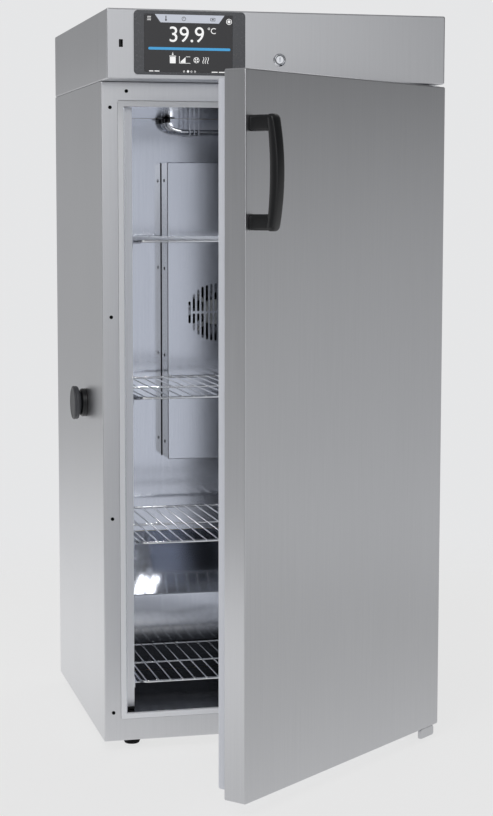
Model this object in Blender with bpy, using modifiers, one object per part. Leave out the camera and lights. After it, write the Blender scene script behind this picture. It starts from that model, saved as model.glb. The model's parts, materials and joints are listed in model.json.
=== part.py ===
"""Upright laboratory incubator: an insulated cabinet with one hinged door, shown standing ajar.

Cabinet frame, used for every number below: x = 0 in the middle of the cabinet, y = 0 at the
front face of the control hood, +y to the back, z = 0 on the floor. One empty carries the whole
cabinet, so that the part's own origin lies under the middle of its bounding box.
"""

import math

import bmesh
import bpy
from mathutils import Matrix

# Driving dimensions, in metres
WIDTH = 0.600
DEPTH = 0.598
TOP = 1.298
HOOD_BOTTOM = 1.180
HOOD_SPLIT = 0.095  # the control fascia wraps this far back
BODY_FRONT = 0.064  # the hood overhangs the body by this much, which is where the door shuts
BASE = 0.020  # height of the feet
SHEET = 0.0015
LINER_SHEET = 0.0012
GAP = 0.0003

CABINET_X = 0.0078  # where the cabinet's middle lies in the part's frame
CABINET_Y = -0.0992  # where the hood's front face lies in the part's frame

# Face frame and chamber
RAIL = 0.0295
FRAME_LOW = 0.059
FRAME_HIGH = 1.148
TRIM_WIDTH = 0.0100
TRIM_FACE = 0.0632
TRIM_BACK = 0.0702
LINER_FRONT = 0.0706
CHAMBER_HALF = 0.258
CHAMBER_FLOOR = 0.067
CHAMBER_TOP = 1.139
CHAMBER_BACK = 0.552
STEP_FRONT = 0.379  # the step over the machine bay
STEP_HEIGHT = 0.216
STEP_BACK_HEIGHT = 0.312
BAY_FRONT = 0.420
BAY_TOP = 0.175

# Air ducts along both side walls
DUCT_FACE = 0.240
DUCT_FRONT = 0.098
DUCT_BACK = 0.545
DUCT_CLEARANCE = 0.001  # above the floor and below the ceiling

# Wire shelves
SHELF_HEIGHTS = (0.906, 0.630, 0.371, 0.119)
SHELF_HALF = 0.232
SHELF_FRONT = 0.083
SHELF_BACK = 0.483
LOW_SHELF_BACK = 0.375
SHELF_BAR = 0.005
WIRE = 0.003
WIRE_PITCH = 0.022
WIRE_COUNT = 21

# Circulation fan
FAN_HEIGHT = 0.757
COVER_HALF = 0.097
COVER_LOW = 0.465
COVER_HIGH = 1.052
COVER_FRONT = 0.488
GRILLE_RADIUS = 0.057
SLOT_PITCH = 0.0088
SLOT_WIDTH = 0.0048

# Door, measured from its hinge axis with the door shut
AXIS_X = 0.2755
AXIS_Y = 0.0240
DOOR_ANGLE = math.radians(40)
DOOR_FREE = -0.5755
DOOR_HINGE = 0.0240
DOOR_FACE = -0.0240
DOOR_BACK = 0.0160
DOOR_LOW = 0.026
DOOR_HIGH = 1.1775
GASKET_DEPTH = 0.0220
GASKET_WIDTH = 0.0200
LUG_HALF = 0.012  # the lug under the door that turns on the lower hinge pin
LUG_LOW = 0.0195
BRACKET_HALF = 0.011  # narrow enough for the block under the door to swing past
HANDLE_HEIGHT = 1.019
HANDLE_LENGTH = 0.178
HANDLE_REACH = 0.055

# Controls on the hood
BEZEL_LEFT, BEZEL_RIGHT = -0.2540, -0.0610
BEZEL_LOW, BEZEL_HIGH = 1.1885, 1.2955
SCREEN_LEFT, SCREEN_RIGHT = -0.2366, -0.0835
SCREEN_LOW, SCREEN_HIGH = 1.1925, 1.2895
LOCK_HEIGHT = 1.217
USB_X, USB_HEIGHT = -0.2760, 1.2400

# Access port in the left wall
PORT_Y, PORT_HEIGHT = 0.250, 0.608

FOOT_X = 0.241
FOOT_FRONT, FOOT_REAR = 0.120, 0.540

for old in list(bpy.data.objects):
    bpy.data.objects.remove(old, do_unlink=True)

parts = bpy.data.collections.new("laboratory_incubator")
cutters = bpy.data.collections.new("cutters")
bpy.context.scene.collection.children.link(parts)
bpy.context.scene.collection.children.link(cutters)


def new_material(name, colour, roughness, metallic):
    material = bpy.data.materials.new(name)
    material.use_nodes = True
    shader = material.node_tree.nodes["Principled BSDF"]
    shader.inputs["Base Color"].default_value = (*colour, 1)
    shader.inputs["Roughness"].default_value = roughness
    shader.inputs["Metallic"].default_value = metallic
    return material


# Materials: linear colour, roughness, metallic
KINDS = {
    "steel_outer": ((0.42, 0.43, 0.44), 0.42, 1.0),
    "steel_liner": ((0.50, 0.51, 0.54), 0.22, 1.0),
    "steel_wire": ((0.70, 0.71, 0.73), 0.18, 1.0),
    "zinc": ((0.45, 0.45, 0.44), 0.50, 1.0),
    "foam": ((0.72, 0.60, 0.34), 0.90, 0.0),
    "trim_plastic": ((0.62, 0.64, 0.70), 0.45, 0.0),
    "gasket_rubber": ((0.60, 0.62, 0.68), 0.60, 0.0),
    "black_plastic": ((0.020, 0.021, 0.023), 0.45, 0.0),
    "bezel_glass": ((0.075, 0.077, 0.085), 0.20, 0.0),
    "screen": ((0.045, 0.047, 0.052), 0.12, 0.0),
    "circuit": ((0.02, 0.12, 0.05), 0.50, 0.0),
    "chrome": ((0.75, 0.76, 0.78), 0.08, 1.0),
    "enamel": ((0.012, 0.012, 0.013), 0.35, 0.0),
}


def link(obj, kind, parent):
    """Give an object its own material, its parent and its place in the collection."""
    obj.data.materials.append(new_material(obj.name, *KINDS[kind]))
    obj.parent = parent
    parts.objects.link(obj)
    return obj


def new_empty(name, place, parent=None, turn=0.0):
    empty = bpy.data.objects.new(name, None)
    empty.location = place
    empty.rotation_euler = (0, 0, turn)
    empty.parent = parent
    parts.objects.link(empty)
    return empty


def box_mesh(name, boxes):
    """One mesh of plain boxes, each given by its low and high corner."""
    mesh = bpy.data.meshes.new(name)
    shape = bmesh.new()
    for low, high in boxes:
        made = bmesh.ops.create_cube(shape, size=1)["verts"]
        size = [h - l for l, h in zip(low, high)]
        middle = [(h + l) / 2 for l, h in zip(low, high)]
        bmesh.ops.scale(shape, vec=size, verts=made)
        bmesh.ops.translate(shape, vec=middle, verts=made)
    shape.to_mesh(mesh)
    shape.free()
    return mesh


def make_box(name, kind, low, high, parent):
    middle = [(h + l) / 2 for l, h in zip(low, high)]
    centred = [[c - m for c, m in zip(corner, middle)] for corner in (low, high)]
    obj = bpy.data.objects.new(name, box_mesh(name, [centred]))
    obj.location = middle
    return link(obj, kind, parent)


def rod_mesh(name, radius, length, sides=24):
    """A cylinder along z, about the origin."""
    mesh = bpy.data.meshes.new(name)
    shape = bmesh.new()
    bmesh.ops.create_cone(
        shape, cap_ends=True, segments=sides, radius1=radius, radius2=radius, depth=length
    )
    shape.to_mesh(mesh)
    shape.free()
    mesh.shade_smooth()
    mesh.set_sharp_from_angle(angle=math.radians(40))
    return mesh


ALONG = {"X": (0, math.pi / 2, 0), "Y": (math.pi / 2, 0, 0), "Z": (0, 0, 0)}


def make_rod(name, kind, middle, axis, radius, length, parent, sides=24):
    obj = bpy.data.objects.new(name, rod_mesh(name, radius, length, sides))
    obj.location = middle
    obj.rotation_euler = ALONG[axis]
    return link(obj, kind, parent)


def helper(name, mesh, parent, place=(0, 0, 0), turn=(0, 0, 0)):
    """A cutter or a joined-on shape, kept out of the render."""
    obj = bpy.data.objects.new(name, mesh)
    obj.location = place
    obj.rotation_euler = turn
    obj.parent = parent
    obj.hide_render = True
    obj.display_type = "WIRE"
    cutters.objects.link(obj)
    return obj


def combine(target, operation, tool):
    modifier = target.modifiers.new(tool.name, "BOOLEAN")
    modifier.operation = operation
    modifier.solver = "EXACT"
    modifier.object = tool
    return target


def cut_boxes(target, boxes):
    tool = helper("cut_" + target.name, box_mesh("cut_" + target.name, boxes), target.parent)
    return combine(target, "DIFFERENCE", tool)


def cut_round(target, label, middle, axis, radius, length, sides=24):
    name = "bore_" + label
    tool = helper(name, rod_mesh(name, radius, length, sides), target.parent, middle, ALONG[axis])
    return combine(target, "DIFFERENCE", tool)


def join_box(target, label, low, high):
    tool = helper("add_" + label, box_mesh("add_" + label, [(low, high)]), target.parent)
    return combine(target, "UNION", tool)


def join_rod(target, label, middle, axis, radius, length, sides=24):
    name = "add_" + label
    tool = helper(name, rod_mesh(name, radius, length, sides), target.parent, middle, ALONG[axis])
    return combine(target, "UNION", tool)


def rectangle(left, low, right, high):
    return [(left, low), (right, low), (right, high), (left, high)]


def ring(cx, cy, radius, count=16):
    angles = [2 * math.pi * i / count for i in range(count)]
    return [(cx + radius * math.cos(a), cy + radius * math.sin(a)) for a in angles]


def rounded(left, low, right, high, radius, steps=4):
    """A rectangle with round corners, as four quarter circles."""
    corners = (
        (right - radius, high - radius),
        (left + radius, high - radius),
        (left + radius, low + radius),
        (right - radius, low + radius),
    )
    points = []
    for quarter, (cx, cy) in enumerate(corners):
        for i in range(steps + 1):
            a = math.pi / 2 * (quarter + i / steps)
            points.append((cx + radius * math.cos(a), cy + radius * math.sin(a)))
    return points


# Turns that lay a flat outline's plane on the named plane
LAID = {"XY": (0, 0, 0), "XZ": (math.pi / 2, 0, 0), "YZ": (math.pi / 2, 0, math.pi / 2)}


def make_plate(name, kind, plane, outlines, thickness, place, parent):
    """A flat piece: the first outline is its edge, the others are holes through it."""
    curve = bpy.data.curves.new(name, "CURVE")
    curve.dimensions = "2D"
    curve.fill_mode = "BOTH"
    curve.extrude = thickness / 2
    for outline in outlines:
        spline = curve.splines.new("POLY")
        spline.points.add(len(outline) - 1)
        for point, (u, v) in zip(spline.points, outline):
            point.co = (u, v, 0, 1)
        spline.use_cyclic_u = True
    obj = bpy.data.objects.new(name, curve)
    obj.location = place
    obj.rotation_euler = LAID[plane]
    return link(obj, kind, parent)


def as_mesh(curve_object):
    """The same piece as a closed mesh, so that it can be cut."""
    bpy.context.view_layer.update()
    graph = bpy.context.evaluated_depsgraph_get()
    mesh = bpy.data.meshes.new_from_object(curve_object.evaluated_get(graph))
    shape = bmesh.new()
    shape.from_mesh(mesh)
    bmesh.ops.remove_doubles(shape, verts=shape.verts, dist=1e-5)
    bmesh.ops.recalc_face_normals(shape, faces=shape.faces)
    shape.to_mesh(mesh)
    shape.free()
    name = curve_object.name
    bpy.data.objects.remove(curve_object, do_unlink=True)
    obj = bpy.data.objects.new(name, mesh)
    parts.objects.link(obj)
    return obj


def make_cut_plate(name, kind, plane, outlines, thickness, place, parent):
    """As make_plate, but a mesh, ready for a Boolean."""
    flat = make_plate(name, kind, plane, outlines, thickness, place, parent)
    place, turn = flat.location.copy(), flat.rotation_euler.copy()
    obj = as_mesh(flat)
    obj.location = place
    obj.rotation_euler = turn
    obj.parent = parent
    return obj


def make_tube(name, kind, points, radius, parent, cyclic=False):
    curve = bpy.data.curves.new(name, "CURVE")
    curve.dimensions = "3D"
    curve.bevel_depth = radius
    curve.bevel_resolution = 2
    curve.use_fill_caps = True
    spline = curve.splines.new("POLY")
    spline.points.add(len(points) - 1)
    for point, place in zip(spline.points, points):
        point.co = (*place, 1)
    spline.use_cyclic_u = cyclic
    spline.use_smooth = True
    return link(bpy.data.objects.new(name, curve), kind, parent)


def make_turned(name, kind, profile, place, axis_turn, parent, closed=False, steps=24):
    """A turned piece: (radius, height) points running down the outer side."""
    edges = [(i, i + 1) for i in range(len(profile) - 1)]
    if closed:
        edges.append((len(profile) - 1, 0))
    mesh = bpy.data.meshes.new(name)
    mesh.from_pydata([(r, 0, h) for r, h in profile], edges, [])
    obj = bpy.data.objects.new(name, mesh)
    obj.location = place
    obj.rotation_euler = axis_turn
    screw = obj.modifiers.new("turn", "SCREW")
    screw.steps = steps
    screw.render_steps = steps
    screw.use_merge_vertices = True
    screw.merge_threshold = 0.00005
    return link(obj, kind, parent)


cabinet = new_empty("cabinet_frame", (CABINET_X, CABINET_Y, 0))


# ---- Outer shell of the body ----
half = WIDTH / 2
inside = half - SHEET - GAP
panel_front = BODY_FRONT + 0.002 + GAP
body_top = HOOD_BOTTOM - GAP


def make_shell():
    for side, sign in (("left", -1), ("right", 1)):
        outer, inner = sign * half, sign * (half - SHEET)
        low = (min(outer, inner), panel_front, BASE)
        high = (max(outer, inner), DEPTH, body_top)
        make_box("side_panel_" + side, "steel_outer", low, high, cabinet)
    vents = [
        rectangle(-0.19, 0.062 + 0.013 * i, 0.19, 0.068 + 0.013 * i) for i in range(8)
    ]
    back_low, back_high = BASE + SHEET + GAP, body_top - SHEET - GAP
    make_plate(
        "back_panel",
        "steel_outer",
        "XZ",
        [rectangle(-inside, back_low, inside, back_high)] + vents,
        SHEET,
        (0, DEPTH - SHEET / 2, 0),
        cabinet,
    )
    holes = [
        ring(sign * FOOT_X, y, 0.0046, 12) for sign in (-1, 1) for y in (FOOT_FRONT, FOOT_REAR)
    ]
    make_plate(
        "base_panel",
        "zinc",
        "XY",
        [rectangle(-inside, panel_front, inside, DEPTH)] + holes,
        SHEET,
        (0, 0, BASE + SHEET / 2),
        cabinet,
    )
    low = (-inside, panel_front, body_top - SHEET)
    make_box("top_deck", "zinc", low, (inside, DEPTH, body_top), cabinet)


def make_face_frame():
    opening = half - RAIL
    make_plate(
        "front_frame",
        "steel_outer",
        "XZ",
        [rectangle(-half, BASE, half, body_top), rectangle(-opening, FRAME_LOW, opening, FRAME_HIGH)],
        0.002,
        (0, BODY_FRONT + 0.001, 0),
        cabinet,
    )
    edge = opening - GAP
    inner = edge - TRIM_WIDTH
    make_plate(
        "trim_frame",
        "trim_plastic",
        "XZ",
        [
            rectangle(-edge, FRAME_LOW + GAP, edge, FRAME_HIGH - GAP),
            rectangle(-inner, FRAME_LOW + TRIM_WIDTH, inner, FRAME_HIGH - TRIM_WIDTH),
        ],
        TRIM_BACK - TRIM_FACE,
        (0, (TRIM_FACE + TRIM_BACK) / 2, 0),
        cabinet,
    )


# ---- Chamber lining ----
def make_liner():
    t = LINER_SHEET
    low_z, high_z = CHAMBER_FLOOR - t, CHAMBER_TOP + t
    # the side walls follow the step at the back
    side_outline = [
        (LINER_FRONT, low_z),
        (STEP_FRONT + t, low_z),
        (STEP_FRONT + t, STEP_HEIGHT - 2 * t),
        (CHAMBER_BACK + t, STEP_BACK_HEIGHT - 2 * t),
        (CHAMBER_BACK + t, high_z),
        (LINER_FRONT, high_z),
    ]
    for side, sign in (("left", -1), ("right", 1)):
        holes = [ring(PORT_Y, PORT_HEIGHT, 0.0225, 24)] if side == "left" else []
        place = (sign * (CHAMBER_HALF + t / 2), 0, 0)
        make_plate("liner_" + side, "steel_liner", "YZ", [side_outline] + holes, t, place, cabinet)
    reach = CHAMBER_HALF - GAP
    make_box(
        "liner_ceiling",
        "steel_liner",
        (-reach, LINER_FRONT, CHAMBER_TOP),
        (reach, CHAMBER_BACK + t, high_z),
        cabinet,
    )
    make_box(
        "liner_floor",
        "steel_liner",
        (-reach, LINER_FRONT, low_z),
        (reach, STEP_FRONT - GAP, CHAMBER_FLOOR),
        cabinet,
    )
    make_box(
        "liner_back",
        "steel_liner",
        (-reach, CHAMBER_BACK, STEP_BACK_HEIGHT + GAP),
        (reach, CHAMBER_BACK + t, CHAMBER_TOP - GAP),
        cabinet,
    )
    slope = math.atan2(STEP_BACK_HEIGHT - STEP_HEIGHT, CHAMBER_BACK - STEP_FRONT)
    under = t / math.cos(slope)
    shoulder = STEP_HEIGHT - under + t * math.tan(slope)
    make_plate(
        "step_cover",
        "steel_liner",
        "YZ",
        [
            [
                (STEP_FRONT, low_z),
                (STEP_FRONT + t, low_z),
                (STEP_FRONT + t, shoulder),
                (CHAMBER_BACK + t, STEP_BACK_HEIGHT - under + t * math.tan(slope)),
                (CHAMBER_BACK + t, STEP_BACK_HEIGHT),
                (CHAMBER_BACK, STEP_BACK_HEIGHT),
                (STEP_FRONT, STEP_HEIGHT),
            ]
        ],
        2 * reach,
        (0, 0, 0),
        cabinet,
    )


def make_insulation():
    foam_half = inside - GAP
    foam_front = LINER_FRONT
    foam = make_box(
        "insulation_foam",
        "foam",
        (-foam_half, foam_front, 0.042),
        (foam_half, DEPTH - SHEET - GAP, body_top - SHEET - GAP),
        cabinet,
    )
    t = LINER_SHEET + GAP
    wide = CHAMBER_HALF + t
    chamber = make_cut_plate(
        "cut_foam_chamber",
        "foam",
        "YZ",
        [
            [
                (foam_front - 0.01, CHAMBER_FLOOR - t),
                (STEP_FRONT + t, CHAMBER_FLOOR - t),
                (STEP_FRONT + t, STEP_HEIGHT - 3 * t),
                (CHAMBER_BACK + t, STEP_BACK_HEIGHT - 3 * t),
                (CHAMBER_BACK + t, CHAMBER_TOP + t),
                (foam_front - 0.01, CHAMBER_TOP + t),
            ]
        ],
        2 * wide,
        (0, 0, 0),
        cabinet,
    )
    parts.objects.unlink(chamber)
    cutters.objects.link(chamber)
    chamber.hide_render = True
    chamber.display_type = "WIRE"
    combine(foam, "DIFFERENCE", chamber)
    bay = ((-CHAMBER_HALF, BAY_FRONT, 0.030), (CHAMBER_HALF, DEPTH + 0.01, BAY_TOP))
    tool = helper("cut_foam_bay", box_mesh("cut_foam_bay", [bay]), cabinet)
    combine(foam, "DIFFERENCE", tool)
    cut_round(foam, "foam_port", (-0.28, PORT_Y, PORT_HEIGHT), "X", 0.0225, 0.06)


# ---- Ducts, runners and shelves ----
def make_ducts():
    t = LINER_SHEET
    low, high = CHAMBER_FLOOR + DUCT_CLEARANCE, CHAMBER_TOP - DUCT_CLEARANCE
    for side, sign in (("left", -1), ("right", 1)):
        wall = CHAMBER_HALF - GAP
        outline = [
            (sign * wall, DUCT_FRONT),
            (sign * DUCT_FACE, DUCT_FRONT),
            (sign * DUCT_FACE, DUCT_BACK),
            (sign * (DUCT_FACE + t), DUCT_BACK),
            (sign * (DUCT_FACE + t), DUCT_FRONT + t),
            (sign * wall, DUCT_FRONT + t),
        ]
        place = (0, 0, (low + high) / 2)
        name = "duct_panel_" + side
        duct = make_cut_plate(name, "steel_liner", "XY", [outline], high - low, place, cabinet)
        duct.data.materials.clear()
        duct.data.materials.append(new_material(name, *KINDS["steel_liner"]))
        # the ducts stop above the step at the back
        step = (
            (min(sign * 0.235, sign * 0.262), STEP_FRONT - 0.004, CHAMBER_FLOOR),
            (max(sign * 0.235, sign * 0.262), DUCT_BACK + 0.01, STEP_BACK_HEIGHT + 0.006),
        )
        cut_boxes(duct, [step])
        if side == "left":
            cut_round(duct, "duct_port", (-DUCT_FACE, PORT_Y, PORT_HEIGHT), "X", 0.028, 0.02)


def make_runners():
    for row, height in enumerate(SHELF_HEIGHTS, start=1):
        back = LOW_SHELF_BACK if height < STEP_HEIGHT else SHELF_BACK
        ledge = height - SHELF_BAR / 2 - GAP
        for side, sign in (("left", -1), ("right", 1)):
            wall, lip = DUCT_FACE - GAP, SHELF_HALF - 0.008
            outline = [
                (sign * wall, ledge - 0.010),
                (sign * wall, ledge + 0.009),
                (sign * (wall - 0.0015), ledge + 0.009),
                (sign * (wall - 0.0015), ledge),
                (sign * lip, ledge),
                (sign * lip, ledge - 0.0015),
                (sign * (wall - 0.0015), ledge - 0.0015),
                (sign * (wall - 0.0015), ledge - 0.010),
            ]
            length = back - DUCT_FRONT - 0.002
            name = "runner_%d_%s" % (row, side)
            place = (0, DUCT_FRONT + 0.002 + length / 2, 0)
            make_plate(name, "steel_liner", "XZ", [outline], length, place, cabinet)


def make_shelves():
    """Wires run front to back, held by bars across the front, middle and back."""
    for row, height in enumerate(SHELF_HEIGHTS, start=1):
        front = SHELF_FRONT
        back = LOW_SHELF_BACK if height < STEP_HEIGHT else SHELF_BACK
        middle = (front + back) / 2
        bays = (
            (front + SHELF_BAR, middle - SHELF_BAR / 2),
            (middle + SHELF_BAR / 2, back - SHELF_BAR),
        )
        wires = [(i - (WIRE_COUNT - 1) / 2) * WIRE_PITCH for i in range(WIRE_COUNT)]
        edges = [-SHELF_HALF + SHELF_BAR]
        for x in wires:
            edges += [x - WIRE / 2, x + WIRE / 2]
        edges.append(SHELF_HALF - SHELF_BAR)
        gaps = list(zip(edges[0::2], edges[1::2]))
        holes = [rectangle(a, near, b, far) for near, far in bays for a, b in gaps]
        outline = rectangle(-SHELF_HALF, front, SHELF_HALF, back)
        name = "shelf_%d" % row
        place = (0, 0, height)
        make_plate(name, "steel_wire", "XY", [outline] + holes, SHELF_BAR, place, cabinet)


# ---- Air circulation and heating ----
def make_fan():
    cover = make_box(
        "fan_cover",
        "steel_liner",
        (-COVER_HALF, COVER_FRONT, COVER_LOW),
        (COVER_HALF, CHAMBER_BACK - GAP, COVER_HIGH),
        cabinet,
    )
    t = LINER_SHEET
    hollow = (
        (-COVER_HALF + t, COVER_FRONT + t, COVER_LOW + t),
        (COVER_HALF - t, CHAMBER_BACK + 0.01, COVER_HIGH - t),
    )
    cut_boxes(cover, [hollow])
    slots = []
    for column in range(-6, 7):
        x = column * SLOT_PITCH
        reach = math.sqrt(GRILLE_RADIUS**2 - x**2)
        for low, high in ((0.002, reach), (-reach, -0.002)):
            near = (x - SLOT_WIDTH / 2, COVER_FRONT - 0.005, FAN_HEIGHT + low)
            far = (x + SLOT_WIDTH / 2, COVER_FRONT + 0.005, FAN_HEIGHT + high)
            slots.append((near, far))
    tool = helper("cut_grille", box_mesh("cut_grille", slots), cabinet)
    combine(cover, "DIFFERENCE", tool)

    motor = make_rod(
        "fan_motor", "zinc", (0, COVER_FRONT + 0.019, FAN_HEIGHT), "Y", 0.025, 0.026, cabinet
    )
    strut = 2 * (COVER_HALF - 0.004) / math.cos(math.pi / 4) - 0.006
    bar = [((-strut / 2, -0.002, -0.003), (strut / 2, 0.002, 0.003))]
    for label, turn in (("rising", math.pi / 4), ("falling", -math.pi / 4)):
        name = "add_strut_" + label
        place = (0, COVER_FRONT + 0.012, FAN_HEIGHT)
        tool = helper(name, box_mesh(name, bar), cabinet, place, (0, turn, 0))
        combine(motor, "UNION", tool)

    hub = (0, COVER_FRONT + 0.046, FAN_HEIGHT)
    impeller = make_rod("fan_impeller", "black_plastic", hub, "Y", 0.022, 0.020, cabinet)
    for blade in range(7):
        name = "add_blade_%d" % blade
        mesh = box_mesh(name, [((0.019, -0.0010, -0.0075), (0.051, 0.0010, 0.0075))])
        tool = helper(name, mesh, cabinet, hub)
        # pitched about its own length, then carried round the hub
        pitch = Matrix.Rotation(math.radians(35), 4, "X")
        around = Matrix.Rotation(2 * math.pi * blade / 7, 4, "Y")
        tool.matrix_local = Matrix.Translation(hub) @ around @ pitch
        combine(impeller, "UNION", tool)


def make_heater():
    """A hairpin tube under the ceiling: both legs drop from one gland and run to the right."""
    start, end = -0.083, 0.110
    top, level = CHAMBER_TOP - 0.010 - GAP, CHAMBER_TOP - 0.027
    near, far = 0.508, 0.532
    bend = 0.015
    quarter = [math.pi / 2 * i / 5 for i in range(6)]
    leg = [(start, top)]
    leg += [(start + bend - bend * math.cos(a), level + bend - bend * math.sin(a)) for a in quarter]
    turn_radius = (far - near) / 2
    half_circle = [math.pi * i / 8 - math.pi / 2 for i in range(9)]
    points = [(x, near, z) for x, z in leg]
    points += [
        (end + turn_radius * math.cos(a), (near + far) / 2 + turn_radius * math.sin(a), level)
        for a in half_circle
    ]
    points += [(x, far, z) for x, z in reversed(leg)]
    make_tube("heater_element", "chrome", points, 0.004, cabinet)
    make_box(
        "heater_gland",
        "black_plastic",
        (start - 0.011, near - 0.011, CHAMBER_TOP - 0.010),
        (start + 0.011, far + 0.011, CHAMBER_TOP - GAP),
        cabinet,
    )
    clip_x = -0.040
    clip = make_box(
        "heater_clip",
        "steel_liner",
        (clip_x - 0.010, near - 0.009, level - 0.008),
        (clip_x + 0.010, near - 0.0078, CHAMBER_TOP - GAP),
        cabinet,
    )
    join_box(
        clip,
        "clip_saddle",
        (clip_x - 0.010, near - 0.009, level - 0.008),
        (clip_x + 0.010, far + 0.006, level - 0.0068),
    )
    make_rod("temperature_probe", "chrome", (0.170, 0.5200, 0.950), "Y", 0.003, 0.0620, cabinet, 12)


def make_cooling():
    compressor = make_rod("compressor", "enamel", (-0.110, 0.505, 0.0945), "Z", 0.058, 0.140, cabinet)
    dome = compressor.modifiers.new("dome", "BEVEL")
    dome.width = 0.018
    dome.segments = 3
    condenser = make_box(
        "condenser", "zinc", (0.020, 0.530, 0.0225), (0.215, 0.590, 0.165), cabinet
    )
    fins = [
        ((0.030 + 0.0185 * i, 0.525, 0.032), (0.040 + 0.0185 * i, 0.572, 0.155)) for i in range(10)
    ]
    cut_boxes(condenser, fins)


# ---- Control hood ----
def make_hood():
    low_z = HOOD_BOTTOM + GAP
    cover = make_box(
        "hood_cover", "steel_outer", (-half, HOOD_SPLIT + GAP, low_z), (half, DEPTH, TOP), cabinet
    )
    inner = half - SHEET
    room = ((-inner, HOOD_SPLIT - 0.02, low_z - 0.02), (inner, DEPTH - SHEET, TOP - SHEET))
    inlet = ((-0.234, DEPTH - 0.02, 1.2250), (-0.206, DEPTH + 0.01, 1.2450))
    cut_boxes(cover, [room])
    tool = helper("cut_inlet_hole", box_mesh("cut_inlet_hole", [inlet]), cabinet)
    combine(cover, "DIFFERENCE", tool)

    fascia = make_box(
        "control_fascia", "steel_outer", (-half, 0, low_z), (half, HOOD_SPLIT, TOP), cabinet
    )
    room = ((-inner, SHEET, low_z + SHEET), (inner, HOOD_SPLIT + 0.02, TOP - SHEET))
    cut_boxes(fascia, [room])
    windows = [
        ((USB_X - 0.0034, -0.01, USB_HEIGHT - 0.0065), (USB_X + 0.0034, 0.01, USB_HEIGHT + 0.0065)),
        ((-0.008, 0.0165, low_z - 0.01), (0.038, 0.0235, low_z + 0.01)),
    ]
    tool = helper("cut_fascia_slots", box_mesh("cut_fascia_slots", windows), cabinet)
    combine(fascia, "DIFFERENCE", tool)
    cut_round(fascia, "fascia_lock", (0, 0, LOCK_HEIGHT), "Y", 0.0095, 0.02)
    cut_round(fascia, "fascia_pin", (AXIS_X, AXIS_Y, low_z), "Z", 0.0046, 0.02)


def make_controls():
    outline = rounded(BEZEL_LEFT, BEZEL_LOW, BEZEL_RIGHT, BEZEL_HIGH, 0.007)
    window = rectangle(SCREEN_LEFT, SCREEN_LOW, SCREEN_RIGHT, SCREEN_HIGH)
    place = (0, -0.0014, 0)
    make_plate("display_bezel", "bezel_glass", "XZ", [outline, window], 0.0022, place, cabinet)
    make_box(
        "display_screen",
        "screen",
        (SCREEN_LEFT + GAP, -0.0023, SCREEN_LOW + GAP),
        (SCREEN_RIGHT - GAP, -GAP, SCREEN_HIGH - GAP),
        cabinet,
    )
    make_box(
        "control_board",
        "circuit",
        (SCREEN_LEFT, SHEET + 0.002, SCREEN_LOW),
        (SCREEN_RIGHT, 0.0140, SCREEN_HIGH),
        cabinet,
    )
    socket = make_box(
        "usb_socket",
        "chrome",
        (USB_X - 0.0042, SHEET + GAP, USB_HEIGHT - 0.0075),
        (USB_X + 0.0042, 0.0200, USB_HEIGHT + 0.0075),
        cabinet,
    )
    cut_boxes(
        socket,
        [((USB_X - 0.0032, -0.01, USB_HEIGHT - 0.0061), (USB_X + 0.0032, 0.016, USB_HEIGHT + 0.0061))],
    )
    inlet = make_box(
        "power_inlet",
        "black_plastic",
        (-0.2335, DEPTH - 0.024, 1.2255),
        (-0.2065, DEPTH + 0.002, 1.2445),
        cabinet,
    )
    cut_boxes(inlet, [((-0.2315, DEPTH - 0.018, 1.2275), (-0.2085, DEPTH + 0.01, 1.2425))])


def make_lock():
    barrel_profile = [
        (0.0074, 0.0030),
        (0.0110, 0.0030),
        (0.0110, GAP),
        (0.0092, GAP),
        (0.0092, -0.0160),
        (0.0074, -0.0160),
    ]
    # the turned piece's height runs along -y, out of the fascia
    out = (math.pi / 2, 0, 0)
    make_turned("lock_barrel", "chrome", barrel_profile, (0, 0, LOCK_HEIGHT), out, cabinet, True)
    core = make_rod("lock_core", "chrome", (0, 0.0085, LOCK_HEIGHT), "Y", 0.0070, 0.0245, cabinet)
    join_box(
        core,
        "lock_cam",
        (-0.006, 0.0180, LOCK_HEIGHT - 0.006),
        (0.050, 0.0205, LOCK_HEIGHT + 0.006),
    )


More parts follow.
